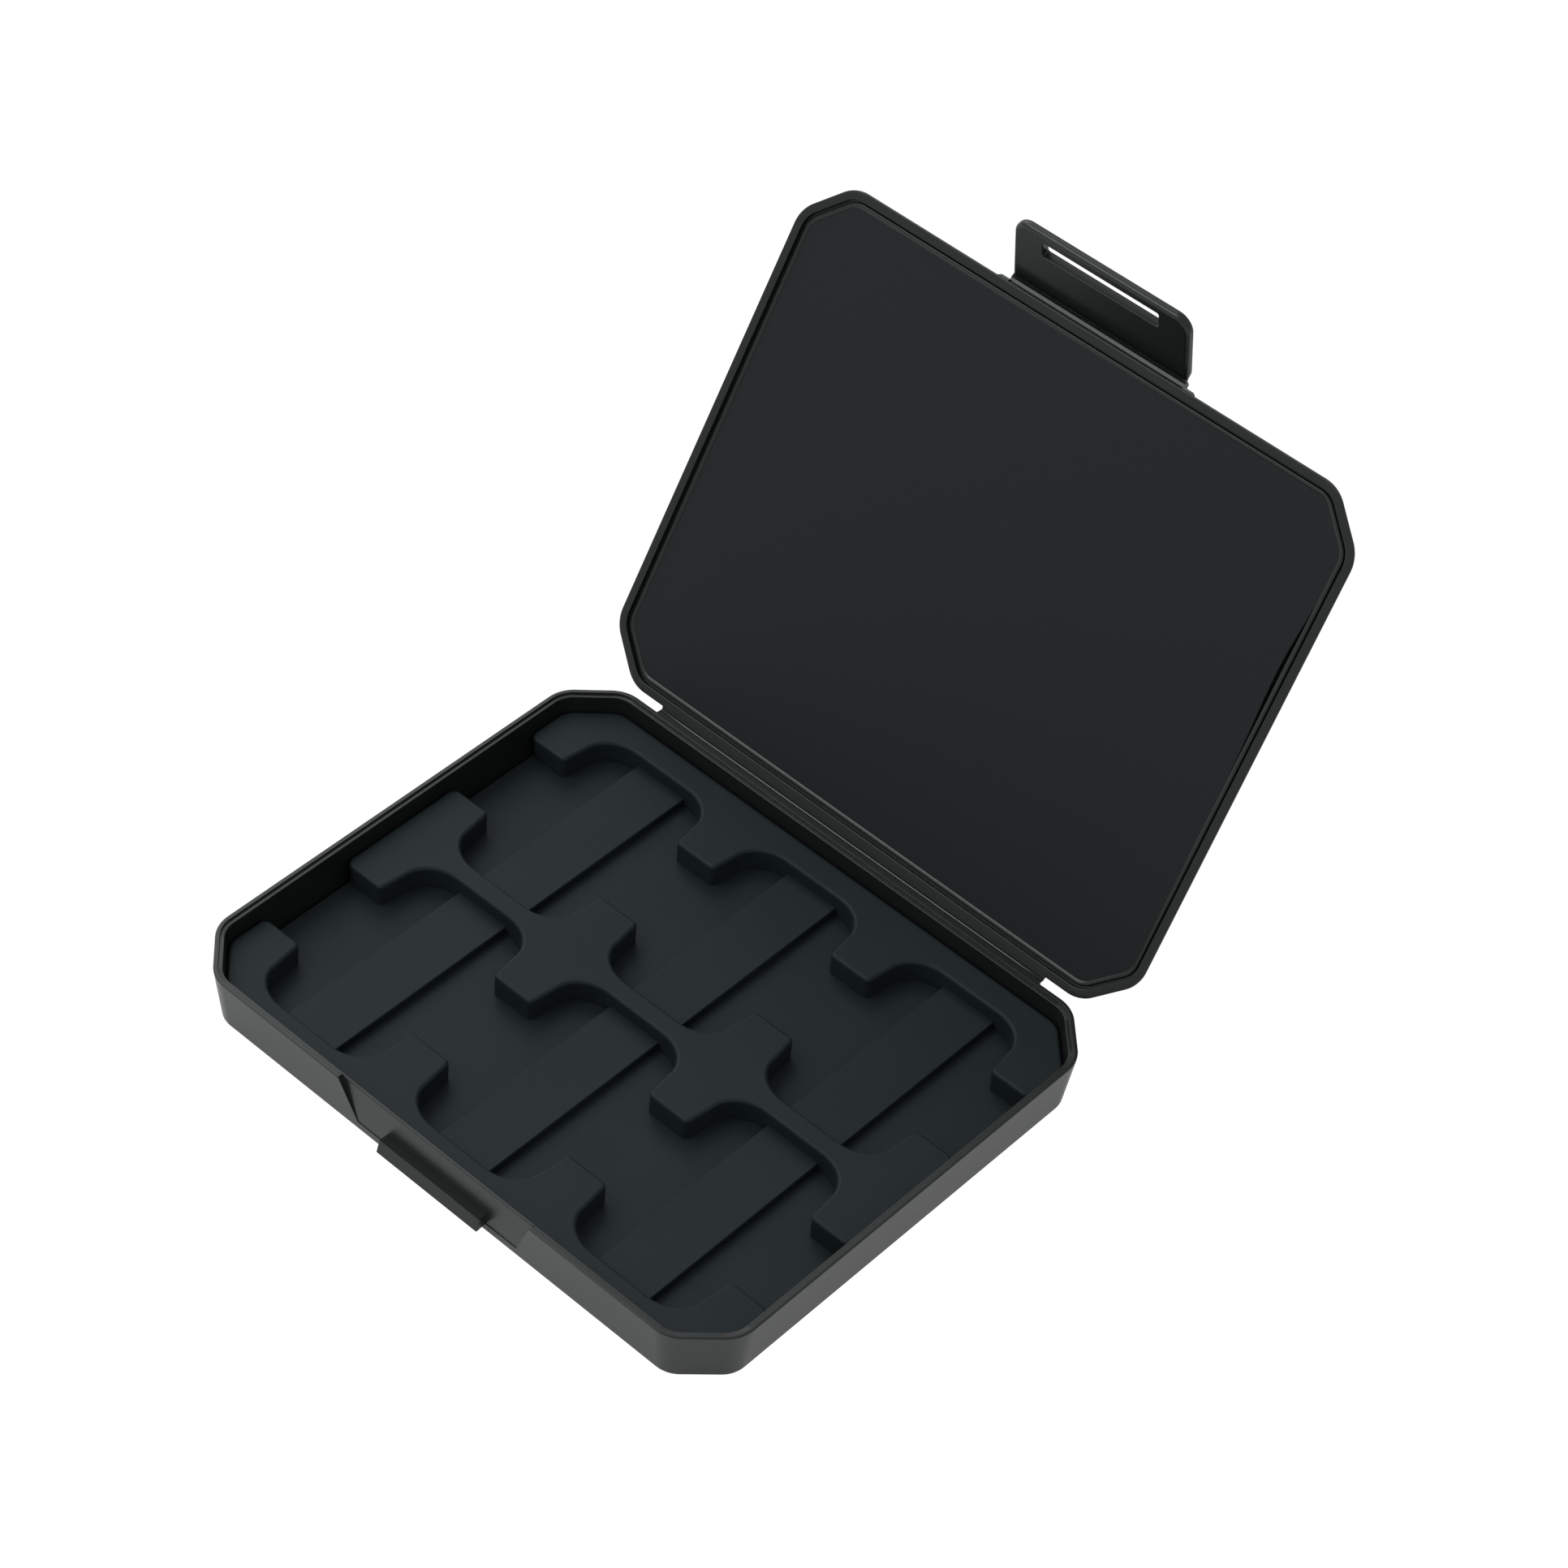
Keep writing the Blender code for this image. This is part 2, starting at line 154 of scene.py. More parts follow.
# Lid section, as depths below the plane of its flange
LID_THICK = 0.0031
LID_SLOPE = math.tan(math.radians(28))
LID_ROUND = 0.0009
FLANGE = 0.0015
FLANGE_ROUND = 0.00012
GROOVE = 0.00035
GROOVE_DEPTH = 0.00095
BEAD = 0.00087
BEAD_DEPTH = 0.00045
BEAD_RISE = 0.0003
BEAD_SOFT = 0.0010
POCKET_DEPTH = 0.0016
LINER_DEPTH = 0.00064
LINER_TUCK = 0.00003
LINER_ROUND = 0.00012
CREEP = 0.0007
CREEP_START = 0.030
CREEP_END = 0.075
CREEP_PEAK = 0.061

# Latch: the tongue with its ledge and ears on the lid, the web in the crease, the slotted flap
TONGUE_DEPTH = 0.0019
TONGUE_REACH = 0.00075
TONGUE_ROUND = 0.00008
LEDGE_SHIFT = 0.0005
LEDGE_OUT = 0.00002
LEDGE_DROP = 0.0009
LEDGE_WIDE = 0.00062
LEDGE_FALL = math.tan(math.radians(17))
LEDGE_FRONT = 0.00066
LEDGE_SOFT = 0.0002
EAR_SHIFT = 0.0009
EAR_GAP = 0.0001
EAR_LONG = 0.0022
EAR_FADE = 0.0006
EAR_WIDE = 0.00035
EAR_FALL = math.tan(math.radians(27))
WEB_TONGUE = 0.00023
WEB_FLAP = 0.00017
WEB_PROUD = TONGUE_ROUND / 8
WEB_DEEP = 0.0007
WEB_LOW_FLAP = 0.0005
WEB_DROP = 0.0005
WEB_SHORT = 0.0001
LATCH_HALF = 0.0171
LATCH_LENGTH = 0.0121
LATCH_THICK = 0.0015
LATCH_TAPER = 0.0002
LATCH_TIP_ROUND = 0.0028
LATCH_INNER_ROUND = 0.0007
LATCH_OUTER_ROUND = 0.0004
LATCH_WEB = 0.0004
LATCH_ANGLE = math.radians(38.5)
LIP = 0.0017
SLOT_OVER = 0.0006
SLOT_SIDE = 0.0007
SLOT_LEAN = -0.00025
SLOT_ROUND = 0.0004
SLOT_EDGE = 0.0001
EDGE_HOLD = 0.00008

# Tray insert
TRAY_TOP = 0.00704
TRAY_FLOOR = 0.00104
TRAY_EDGE = 0.0006
TRAY_CORNER = 0.0015
FRONT_STRIP = 0.00355
BACK_STRIP = 0.0049
BAND = 0.00355
BAND_SHIFT = -0.00023
COLUMNS = 3
PITCH = 0.0328
STUB = 0.0080
STUB_SPREAD = 0.00065
STUB_ROUND = 0.0009
POCKET_X = 0.0062
POCKET_Y = 0.0050
FINGER_GAP = 0.0168
FINGER_SHIFT = 0.0002
BAR = 0.0103
BAR_HEIGHT = 0.00155
BAR_EDGE = 0.0002
FLOOR_SETBACK = 0.00025

# Gloss of the three plastics as the shader's own values. Then each one's skin: its least
# roughness, how much the grain adds to that, and the strength of the grain's relief
SHELL_GLOSS = {"IOR": 1.5, "Specular_IOR_Level": 0.5, "Specular_Tint": (0.91, 1.0, 0.985)}
INSERT_GLOSS = {"IOR": 1.45, "Specular_IOR_Level": 0.25, "Specular_Tint": (0.86, 0.98, 1.0)}
LINER_GLOSS = {"IOR": 1.45, "Specular_IOR_Level": 0.42, "Specular_Tint": (0.86, 0.98, 1.0)}
SHELL_SKIN = (0.24, 0.14, 0.5)
INSERT_SKIN = (0.48, 0.12, 0.35)
LINER_SKIN = (0.42, 0.14, 0.3)
RELIEF_HEIGHT = 0.00002

# Patterns: their sizes, the levels between which they show, and their lower and upper share of
# the plastic's colour
INSERT_GRAIN = 0.00035
LINER_GRAIN = 0.0003
SHELL_PATCH = 0.02
INSERT_PATCH = 0.014
PATCH_LEVELS = (0.3, 0.7)
GRAIN_LEVELS = (0.35, 0.75)
SHELL_PATCH_SHARES = (0.92, 1.08)
SHELL_GRAIN_SHARES = (0.8, 1.3)
INSERT_PATCH_SHARES = (0.93, 1.07)

# Dust on the liner, gathered in fields, and the painted highlight along the main hinge's crease
DUST_PITCH = 0.0045
DUST_LEVELS = (0.018, 0.034)
DUST_FIELD = 0.006
DUST_FIELD_LEVELS = (0.56, 0.62)
DUST_SHARE = 0.6
DUST_COLOUR = (0.16, 0.16, 0.15)
PAINTED_HIGHLIGHT_COLOUR = (0.33, 0.35, 0.34)
HINGE_WEB_ROUGH = 0.3
PAINTED_HIGHLIGHT_WIDTH = 0.00006
HIGHLIGHT_FADE_FROM = 0.006
HIGHLIGHT_FADE_TO = 0.001

# Studio: the floor, the share of its own white in the picture and in reflections, and the size
# and place of the two lamps
WHITE = (1.0, 1.0, 1.0)
FLOOR_HALF = 3.0
FLOOR_COLOUR = (0.84, 0.84, 0.84)
FLOOR_ROUGH = 0.9
FLOOR_SPECULAR = 0.1
FLOOR_WHITE = 1.06
WHITE_SEEN = 0.93
WHITE_MIRRORED = 0.4
SIDE_LAMP = (1.0, (-0.95, 0.35, 0.80))
FRONT_LAMP = (0.6, (-0.53, -0.54, 0.94))

# Camera that took the picture: its place, turn and focal length on a 36 mm wide sensor
CAMERA_PLACE = (0.28899, -0.33655, 0.50784)
CAMERA_AZIMUTH = math.radians(38.370)
CAMERA_ELEVATION = math.radians(45.428)
CAMERA_ROLL = math.radians(5.880)
CAMERA_LENS = 100.86
CAMERA_SENSOR = 36.0
CAMERA_NEAR = 0.01
CAMERA_FAR = 20.0


def size_property(name, description, default, low, high):
    """A length in the sidebar, in metres."""
    return FloatProperty(name=name, description=description, default=default, min=low, max=high,
                         unit="LENGTH")


def colour_property(name, description, default):
    """A colour in the sidebar."""
    return FloatVectorProperty(name=name, description=description, default=default, min=0.0,
                               max=1.0, subtype="COLOR")


class CaseSizes(bpy.types.PropertyGroup):
    """The sizes that shape the whole case."""

    length: size_property("Length", "Length along the hinge", 0.110, 0.05, 0.3)
    depth: size_property("Depth", "Depth from the latch side to the hinge side", 0.090, 0.05, 0.3)
    base_height: size_property("Base height", "Height of the base's rim", 0.01014, 0.005, 0.05)
    wall: size_property("Wall", "Thickness of the base's wall", 0.00147, 0.0008, 0.004)
    corner_cut: size_property("Corner cut", "How far each corner is cut", 0.0077, 0.001, 0.02)
    corner_soft: size_property("Corner radius", "Radius where a cut meets a side", 0.006, 0.001,
                               0.012)
    lid_angle: FloatProperty(name="Lid angle", description="How far the lid is open",
                             default=math.radians(119.8), min=0.0, max=math.pi, subtype="ANGLE")


class CaseFinishes(bpy.types.PropertyGroup):
    """The colours and grain of the three plastics."""

    shell_colour: colour_property("Shell", "Colour of the hard shell", (0.0074, 0.0083, 0.0080))
    insert_colour: colour_property("Insert", "Colour of the insert", (0.0115, 0.0170, 0.0190))
    liner_colour: colour_property("Liner", "Colour of the liner", (0.0036, 0.0044, 0.0050))
    grain: size_property("Grain", "Size of the shell's moulded grain", 0.00022, 0.00005, 0.002)


class StageSettings(bpy.types.PropertyGroup):
    """The strength of the studio's light."""

    surround: FloatProperty(name="Surround", description="Brightness of the white surroundings",
                            default=0.55, min=0.0, max=4.0)
    side_lamp: FloatProperty(name="Side lamp", description="Power of the wide lamp on the left",
                             default=4.7, min=0.0, max=100.0, unit="POWER")
    front_lamp: FloatProperty(name="Front lamp", description="Power of the lamp high in front",
                              default=3.6, min=0.0, max=100.0, unit="POWER")


def soft_corners(corners, steps):
    """Closed outlines with rounded corners, from rows of (x, y, radius).

    Each corner becomes the arc that touches both its sides: its centre lies on their bisector at
    radius / sin(half the corner's angle), and it turns through pi less the corner's angle."""
    corners = np.asarray(corners, float)
    point, radius = corners[..., :2], corners[..., 2]
    after = np.roll(point, -1, axis=-2) - point
    after /= np.linalg.norm(after, axis=-1, keepdims=True)
    before = -np.roll(after, 1, axis=-2)
    half = np.arccos(np.clip((before * after).sum(-1), -1.0, 1.0)) / 2
    bisector = before + after
    bisector /= np.maximum(np.linalg.norm(bisector, axis=-1, keepdims=True), TINY)
    centre = point + bisector * (radius / np.sin(half))[..., None]
    start = point + before * (radius / np.tan(half))[..., None] - centre
    side = before[..., 0] * after[..., 1] - before[..., 1] * after[..., 0]
    angle = (-np.sign(side) * (np.pi - 2 * half))[..., None] * np.linspace(0, 1, steps + 1)
    x = centre[..., :1] + start[..., :1] * np.cos(angle) - start[..., 1:] * np.sin(angle)
    y = centre[..., 1:] + start[..., :1] * np.sin(angle) + start[..., 1:] * np.cos(angle)
    return np.stack((x, y), -1).reshape(*corners.shape[:-2], -1, 2)


def soft_line(corners, steps=EDGE_STEPS):
    """A line with rounded corners, without repeated points; a radius of 0 keeps a corner sharp."""
    points = soft_corners(corners, steps)
    moved = np.linalg.norm(np.diff(points, axis=0), axis=1) > TINY
    return points[np.concatenate(([True], moved))]


def case_rings(sizes, inset, front=(), back=(), right=()):
    """Plans of the case moved in by each inset, as (inset, point, xy), with further points at the
    given X along the front and the back side, and at the given Y along the right side.

    The plan is a rectangle with cut corners. Moving it in by d shortens each cut by (2 - sqrt 2) d
    and takes d off the radius of its soft joints."""
    inset = np.asarray(inset, float)[:, None]
    x = sizes.length / 2 - inset
    y = sizes.depth / 2 - inset
    cut = sizes.corner_cut - inset * (2 - math.sqrt(2))
    soft = np.maximum(sizes.corner_soft - inset, RIM_ROUND)
    corner_x = np.hstack((-x + cut, x - cut, x, x, x - cut, -x + cut, -x, -x))
    corner_y = np.hstack((-y, -y, -y + cut, y - cut, y, y, y - cut, -y + cut))
    ring = soft_corners(np.stack((corner_x, corner_y, soft + 0 * corner_x), -1), CORNER_STEPS)
    front, back, right = (np.array(side, float)[None] for side in (front, back, right))
    front, right, back = (np.stack(np.broadcast_arrays(*run), -1)
                          for run in ((front, -y), (x, right), (back, y)))
    one, three, five = (count * CORNER_POINTS for count in (1, 3, 5))
    return np.concatenate((ring[:, :one], front, ring[:, one:three], right,
                           ring[:, three:five], back, ring[:, five:]), 1)


def moved_in(ring, distance):
    """A closed plan moved towards its inside: each point goes along the bisector of its two sides,
    by the distance over the cosine of half the turn there. The plan runs anticlockwise."""
    before = ring - np.roll(ring, 1, axis=0)
    before /= np.linalg.norm(before, axis=1, keepdims=True)
    along = before + np.roll(before, -1, axis=0)
    normal = np.stack((-along[:, 1], along[:, 0]), 1)
    square = np.maximum((normal ** 2).sum(1, keepdims=True), TINY)
    return ring + normal * (2 * distance / square)


def quarter(radius, steps=EDGE_STEPS):
    """A quarter round of a radius R as two runs: in by R (1 - cos a), along by R (1 - sin a)."""
    angle = np.linspace(0, np.pi / 2, steps + 1)
    return radius * (1 - np.cos(angle)), radius * (1 - np.sin(angle))


def lifted(plan, z):
    """A flat plan as a ring of points at one height."""
    return np.column_stack((plan, np.full(len(plan), z)))


def fan_volume(corners):
    """Six times the signed volume from the origin to faces: each is a fan of triangles, and a
    triangle's share is its first corner times the cross product of the other two."""
    return (corners[:, :1] * np.cross(corners[:, 1:-1], corners[:, 2:])).sum()


def shell(rings, around=False):
    """A closed body through rings of equal count: quads between them and a flat cap on each end,
    or none where the rings run all the way around. A negative volume turns every face round."""
    rings = np.asarray(rings, float)
    count, width = rings.shape[:2]
    index = np.arange(count * width).reshape(count, width)
    high = np.roll(index, -1, axis=0) if around else index[1:]
    low = index if around else index[:-1]
    quads = np.stack((low, np.roll(low, -1, axis=1), np.roll(high, -1, axis=1), high), -1)
    groups = [quads.reshape(-1, 4)] + ([] if around else [index[:1, ::-1], index[-1:]])
    points = rings.reshape(-1, 3)
    middle = points.mean(0)
    volume = sum(fan_volume(points[group] - middle) for group in groups)
    turn = -1 if volume < 0 else 1
    return welded(points, [face[::turn] for group in groups for face in group.tolist()])


def welded(points, faces):
    """A body whose points in one place are made one, without the faces that have no width."""
    _, first, place = np.unique(points.round(WELD_DIGITS), axis=0, return_index=True,
                                return_inverse=True)
    rows = [place.reshape(-1)[face] for face in faces]
    wide = [row[row != np.roll(row, 1)].tolist() for row in rows]
    return points[first], [row for row in wide if len(row) > 2]


def joined(bodies):
    """Several closed bodies as one mesh."""
    points, faces, start = [], [], 0
    for body_points, body_faces in bodies:
        points.append(body_points)
        faces += [[corner + start for corner in face] for face in body_faces]
        start += len(body_points)
    return np.concatenate(points), faces


def bar_body(section, low, high, along):
    """A closed body with one section carried from low to high along an axis; the section's two
    coordinates are the other two axes in order."""
    return shell([np.insert(section, along, place, axis=1) for place in (low, high)])


def new_object(name, data):
    """An object of some data, in the scene."""
    obj = bpy.data.objects.new(name, data)
    bpy.context.scene.collection.objects.link(obj)
    return obj


def make_piece(name, body, maker, rides=None, node=None):
    """A smooth-shaded object from a body; flat faces keep their own direction in the shading. A
    piece either rides on a body and stands for a node, or stands on its own."""
    points, faces = body
    mesh = bpy.data.meshes.new(name)
    mesh.from_pydata(points.tolist(), [], faces)
    mesh.shade_smooth()
    mesh.set_sharp_from_angle(angle=SHARP_ANGLE)
    mesh.materials.append(case_material(maker))
    obj = new_object(name, mesh)
    even = obj.modifiers.new("even_shading", "WEIGHTED_NORMAL")
    even.keep_sharp = True
    even.weight = FACE_WEIGHT
    if rides:
        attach(obj, rides)
        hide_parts(node)
    return obj


class Value:
    """One output of a shader node. Arithmetic on it adds Math nodes."""

    def __init__(self, finish, socket):
        self.finish = finish
        self.socket = socket

    def math(self, operation, *values):
        return self.finish.node("ShaderNodeMath", {"operation": operation}, *values)

    def __add__(self, other):
        return self.math("ADD", self, other)

    __radd__ = __add__

    def __sub__(self, other):
        return self.math("SUBTRACT", self, other)

    def __rsub__(self, other):
        return self.math("SUBTRACT", other, self)

    def __mul__(self, other):
        return self.math("MULTIPLY", self, other)

    __rmul__ = __mul__

    def __abs__(self):
        return self.math("ABSOLUTE", self)

    def between(self, low, high):
        """0 below low and 1 above high, with a soft rise between them."""
        return self.finish.node("ShaderNodeMapRange", {"interpolation_type": "SMOOTHSTEP"},
                                self, low, high, 0.0, 1.0)


class Finish:
    """The nodes of a material or a world, written as expressions."""

    def __init__(self, owner):
        owner.use_nodes = True
        self.tree = owner.node_tree
        self.shader = self.tree.nodes.get("Principled BSDF") or self.tree.nodes["Background"]

    def put(self, socket, value):
        """Links an output into a socket, or sets its number or colour."""
        if isinstance(value, Value):
            self.tree.links.new(value.socket, socket)
        elif socket.type == "RGBA":
            socket.default_value = (*value, 1.0)
        else:
            socket.default_value = value

    def node(self, kind, settings, *values, output=0, **named):
        """A node of one type: its settings first, then its sockets in order, where None leaves one
        as it is, or by name."""
        made = self.tree.nodes.new(kind)
        for key, value in settings.items():
            setattr(made, key, value)
        for socket, value in zip(made.inputs, values):
            if value is not None:
                self.put(socket, value)
        for key, value in named.items():
            self.put(made.inputs[key.replace("_", " ")], value)
        return Value(self, made.outputs[output])

    def place(self):
        """The point on the piece, in metres."""
        return self.node("ShaderNodeTexCoord", {}, output="Object")

    def noise(self, place, size, detail=2.0, roughness=0.5):
        """Soft noise whose features have about the given size."""
        return self.node("ShaderNodeTexNoise", {}, Vector=place, Scale=1.0 / size, Detail=detail,
                         Roughness=roughness)

    def mix(self, share, first, second):
        """A colour between two others, whose sockets come after five of the node's other kinds."""
        return self.node("ShaderNodeMix", {"data_type": "RGBA"}, share, *[None] * 5, first, second,
                         output=2)

    def vary(self, pattern, levels, colour, shares):
        """A colour times the first share, or the second where a pattern is past two levels."""
        low, high = (tuple(channel * share for channel in colour) for share in shares)
        return self.mix(pattern.between(*levels), low, high)

    def split(self, vector):
        """The X, Y and Z of a point."""
        parts = self.node("ShaderNodeSeparateXYZ", {}, vector).socket.node.outputs
        return [Value(self, part) for part in parts]

    def set(self, **values):
        """Sets the shader's own sockets."""
        for key, value in values.items():
            self.put(self.shader.inputs[key.replace("_", " ")], value)

    def grained(self, colour, grain, skin, gloss):
        """Sets a plastic of some colour whose roughness and fine relief follow its grain."""
        least, more, strength = skin
        relief = self.node("ShaderNodeBump", {}, Height=grain, Distance=RELIEF_HEIGHT,
                           Strength=strength)
        self.set(Base_Color=colour, Roughness=least + more * grain, Normal=relief, **gloss)


def satin_shell_plastic(finish, finishes):
    """Satin moulded plastic: a fine spark grain in the relief and sheen, and slow soft patches."""
    place = finish.place()
    grain = finish.noise(place, finishes.grain, detail=3.0, roughness=0.65)
    patches = finish.noise(place, SHELL_PATCH)
    colour = finish.vary(patches, PATCH_LEVELS, finishes.shell_colour, SHELL_PATCH_SHARES)
    speckle = finish.vary(grain, GRAIN_LEVELS, finishes.shell_colour, SHELL_GRAIN_SHARES)
    finish.grained(finish.mix(0.5, colour, speckle), grain, SHELL_SKIN, SHELL_GLOSS)


def soft_insert_rubber(finish, finishes):
    """Soft matte rubber: a very fine skin, and patches that are faintly darker and lighter."""
    place = finish.place()
    grain = finish.noise(place, INSERT_GRAIN, detail=3.0, roughness=0.6)
    patches = finish.noise(place, INSERT_PATCH, detail=3.0)
    colour = finish.vary(patches, PATCH_LEVELS, finishes.insert_colour, INSERT_PATCH_SHARES)
    finish.grained(colour, grain, INSERT_SKIN, INSERT_GLOSS)


def dense_liner_sheet(finish, finishes):
    """Dense dark sheet: near-smooth skin with a scatter of tiny pale specks of dust."""
    place = finish.place()
    grain = finish.noise(place, LINER_GRAIN, detail=3.0, roughness=0.6)
    dust = finish.node("ShaderNodeTexVoronoi", {"feature": "F1"}, Vector=place,
                       Scale=1 / DUST_PITCH)
    sparse = finish.noise(place, DUST_FIELD).between(*DUST_FIELD_LEVELS)
    speck = (1.0 - dust.between(*DUST_LEVELS)) * sparse
    colour = finish.mix(speck * DUST_SHARE, finishes.liner_colour, DUST_COLOUR)
    finish.grained(colour, grain, LINER_SKIN, LINER_GLOSS)


def hinge_plastic_painted_highlight(finish, finishes):
    """Plastic of the living hinge with a painted highlight: a pale line painted along its crease,
    which fades near its ends.
    """
    base_edge, lid_edge = hinge_edges(bpy.context.scene.case_sizes)
    line = float(base_edge[0] + lid_edge[0]) / 2
    x, y, _ = finish.split(finish.place())
    along = 1.0 - abs(x).between(HINGE_HALF - HIGHLIGHT_FADE_FROM, HINGE_HALF - HIGHLIGHT_FADE_TO)
    across = 1.0 - abs(y - line).between(PAINTED_HIGHLIGHT_WIDTH / 2, PAINTED_HIGHLIGHT_WIDTH)
    # The pale colour mixed in here is a painted highlight along the crease; the plastic itself has
    # the shell's colour
    finish.set(Base_Color=finish.mix(along * across, finishes.shell_colour, PAINTED_HIGHLIGHT_COLOUR),
               Roughness=HINGE_WEB_ROUGH, **SHELL_GLOSS)


def case_material(maker):
    """The material that bears its maker's name, made when it is first asked for."""
    name = maker.__name__
    if name not in bpy.data.materials:
        maker(Finish(bpy.data.materials.new(name)), bpy.context.scene.case_finishes)
    return bpy.data.materials[name]


def recess_places(sizes, z):
    """Places along the front side at each height, and how deep the recess lies in the wall there.

    The floor of the recess leans in slightly towards a narrow ledge at its bottom. Each end leans
    inwards as it goes down and is a squarish hollow: with b the depth at that height and a a
    share of it, x = a sin(t)^(2/p) and depth = b cos(t)^(2/p), then a quarter round of radius r
    out to the wall, x = r (1 - cos t) and depth = r (1 - sin t). Two close places mark where the
    land ends."""
    z = np.asarray(z, float).reshape(-1, 1)
    drop = (sizes.base_height - z) / sizes.base_height
    deep = RECESS_DEPTH + RECESS_DEEPER * drop ** 4 - DRAFT * sizes.base_height * drop
    run = RECESS_RUN * np.maximum(deep, RECESS_EDGE)
    deep = np.where(z > RECESS_LOW_Z - TINY, np.maximum(deep, RECESS_EDGE), 0)
    lean = (RECESS_TOP_HALF - RECESS_LOW_HALF) / (sizes.base_height - RECESS_LOW_Z)
    half = RECESS_LOW_HALF + lean * (z - RECESS_LOW_Z)

    land = math.acos((LAND / RECESS_DEPTH) ** (RECESS_SQUARE / 2))
    turn = np.linspace(0, np.pi / 2, RECESS_STEPS)
    turn = np.sort(np.concatenate((turn, (land - LAND_MARK, land + LAND_MARK))))
    corner = np.linspace(0, np.pi / 2, EDGE_STEPS)[1:]
    soft = np.minimum(RECESS_EDGE, deep / 2)
    inner, outer = np.array(RECESS_MARKS), np.array(FRONT_MARKS)
    side = np.hstack((
        inner + 0 * z,
        half + run * np.sin(turn) ** (2 / RECESS_SQUARE),
        half + run + RECESS_EDGE * (1 - np.cos(corner)),
        outer + 0 * z,
    ))
    depth = np.hstack((
        deep + 0 * inner,
        np.maximum(deep * np.abs(np.cos(turn)) ** (2 / RECESS_SQUARE), soft),
        soft * (1 - np.sin(corner)),
        0 * outer + 0 * z,
    ))
    return np.hstack((-side[:, ::-1], 0 * z, side)), np.hstack((depth[:, ::-1], deep, depth))


def wall_inset(sizes, z):
    """How far the base's inner wall stands in from the plan at a height."""
    return sizes.wall + DRAFT * (sizes.base_height - z)


def base_profile(sizes):
    """The base's wall as rows of (inset, z): the outside from under the floor up to the rim, then
    the inside from there down to the floor."""
    height = sizes.base_height
    foot = DRAFT * height
    rim = height - RIM_STEP
    inner = wall_inset(sizes, FLOOR)
    rows = (RECESS_LOW_Z - RECESS_EDGE / 4, RECESS_LOW_Z,
            *np.linspace(WALL_LOW, WALL_HIGH, WALL_ROWS),
            rim - RIM_ROUND, height - 2 * RIM_ROUND)
    outside = soft_line([
        (foot + CAP_INSET, 0, 0), (foot, 0, FOOT_ROUND),
        *((DRAFT * (height - z), z, 0) for z in rows),
        (0, height, RIM_ROUND), (LAND / 2, height, 0),
    ])
    inside = soft_line([
        (LAND / 2, height, 0), (LAND, height, LAND_ROUND), (LAND, rim, STEP_ROUND),
        (sizes.wall, rim, RIM_LEDGE_ROUND), (inner, FLOOR, FLOOR_ROUND),
        (inner + CAP_INSET, FLOOR, 0),
    ])[1:]
    return outside, inside


def hinge_marks():
    """Places along a hinge side, right to left, close together at the strip's two ends."""
    end = HINGE_HALF + np.array((-HINGE_END, -HINGE_END / 3, HINGE_END / 3, HINGE_END))
    side = np.concatenate((HINGE_MARKS, end))
    return np.concatenate((side[::-1], (0.0,), -side))


def hinge_run(before=0):
    """Where the hinge side's places stand in a ring that has other added places before them."""
    start = before + 5 * CORNER_POINTS
    return slice(start, start + len(hinge_marks()))


def hinge_share(x):
    """1 along the hinge strip and 0 beyond its ends."""
    return np.clip((HINGE_HALF + HINGE_END / 3 - np.abs(x)) / (2 * HINGE_END / 3), 0, 1)


def base_body(sizes):
    """The tub: the wall's rows swept round the plan. In front, each column leans with the recess's
    ends and its rows move in to the recess's floor. At the back, the top rows reach out as the
    base's half of the hinge strip."""
    outside, inside = base_profile(sizes)
    profile = np.concatenate((outside, inside))
    inset, z = profile[:, :1], profile[:, 1:]
    x, depth = recess_places(sizes, z)
    plans = case_rings(sizes, profile[:, 0], x[0], hinge_marks())
    rings = np.concatenate((plans, np.broadcast_to(z[:, None], (*plans.shape[:2], 1))), -1)
    height = sizes.base_height
    outer = np.arange(len(profile))[:, None] < len(outside)

    front = slice(CORNER_POINTS, CORNER_POINTS + x.shape[1])
    wall = DRAFT * (height - z)
    cut = wall + depth + np.minimum(inset - wall, RIM_ROUND)
    rim = height - RIM_STEP
    gone = (wall + depth > LAND) & (z > rim - RIM_ROUND)
    low_z = rim - RIM_ROUND + np.clip(z - (height - RIM_ROUND), 0, None)
    rings[:, front, 0] = x
    rings[:, front, 1] = -(sizes.depth / 2 - np.where(depth > 0, np.maximum(inset, cut), inset))
    rings[:, front, 2] = np.where(gone, np.where(outer, low_z, np.minimum(z, rim)), z)

    back = hinge_run(x.shape[1])
    reach = HINGE_REACH - CREASE_GAP
    full = height - HINGE_LEAF
    rise = np.clip((z - (full - HINGE_LEAF)) / HINGE_LEAF, 0, 1) * (reach + wall)
    moves = outer & (inset < RIM_ROUND + TINY + wall)
    rings[:, back, 1] += np.where(moves, rise, 0) * hinge_share(rings[:, back, 0])
    return shell(rings)


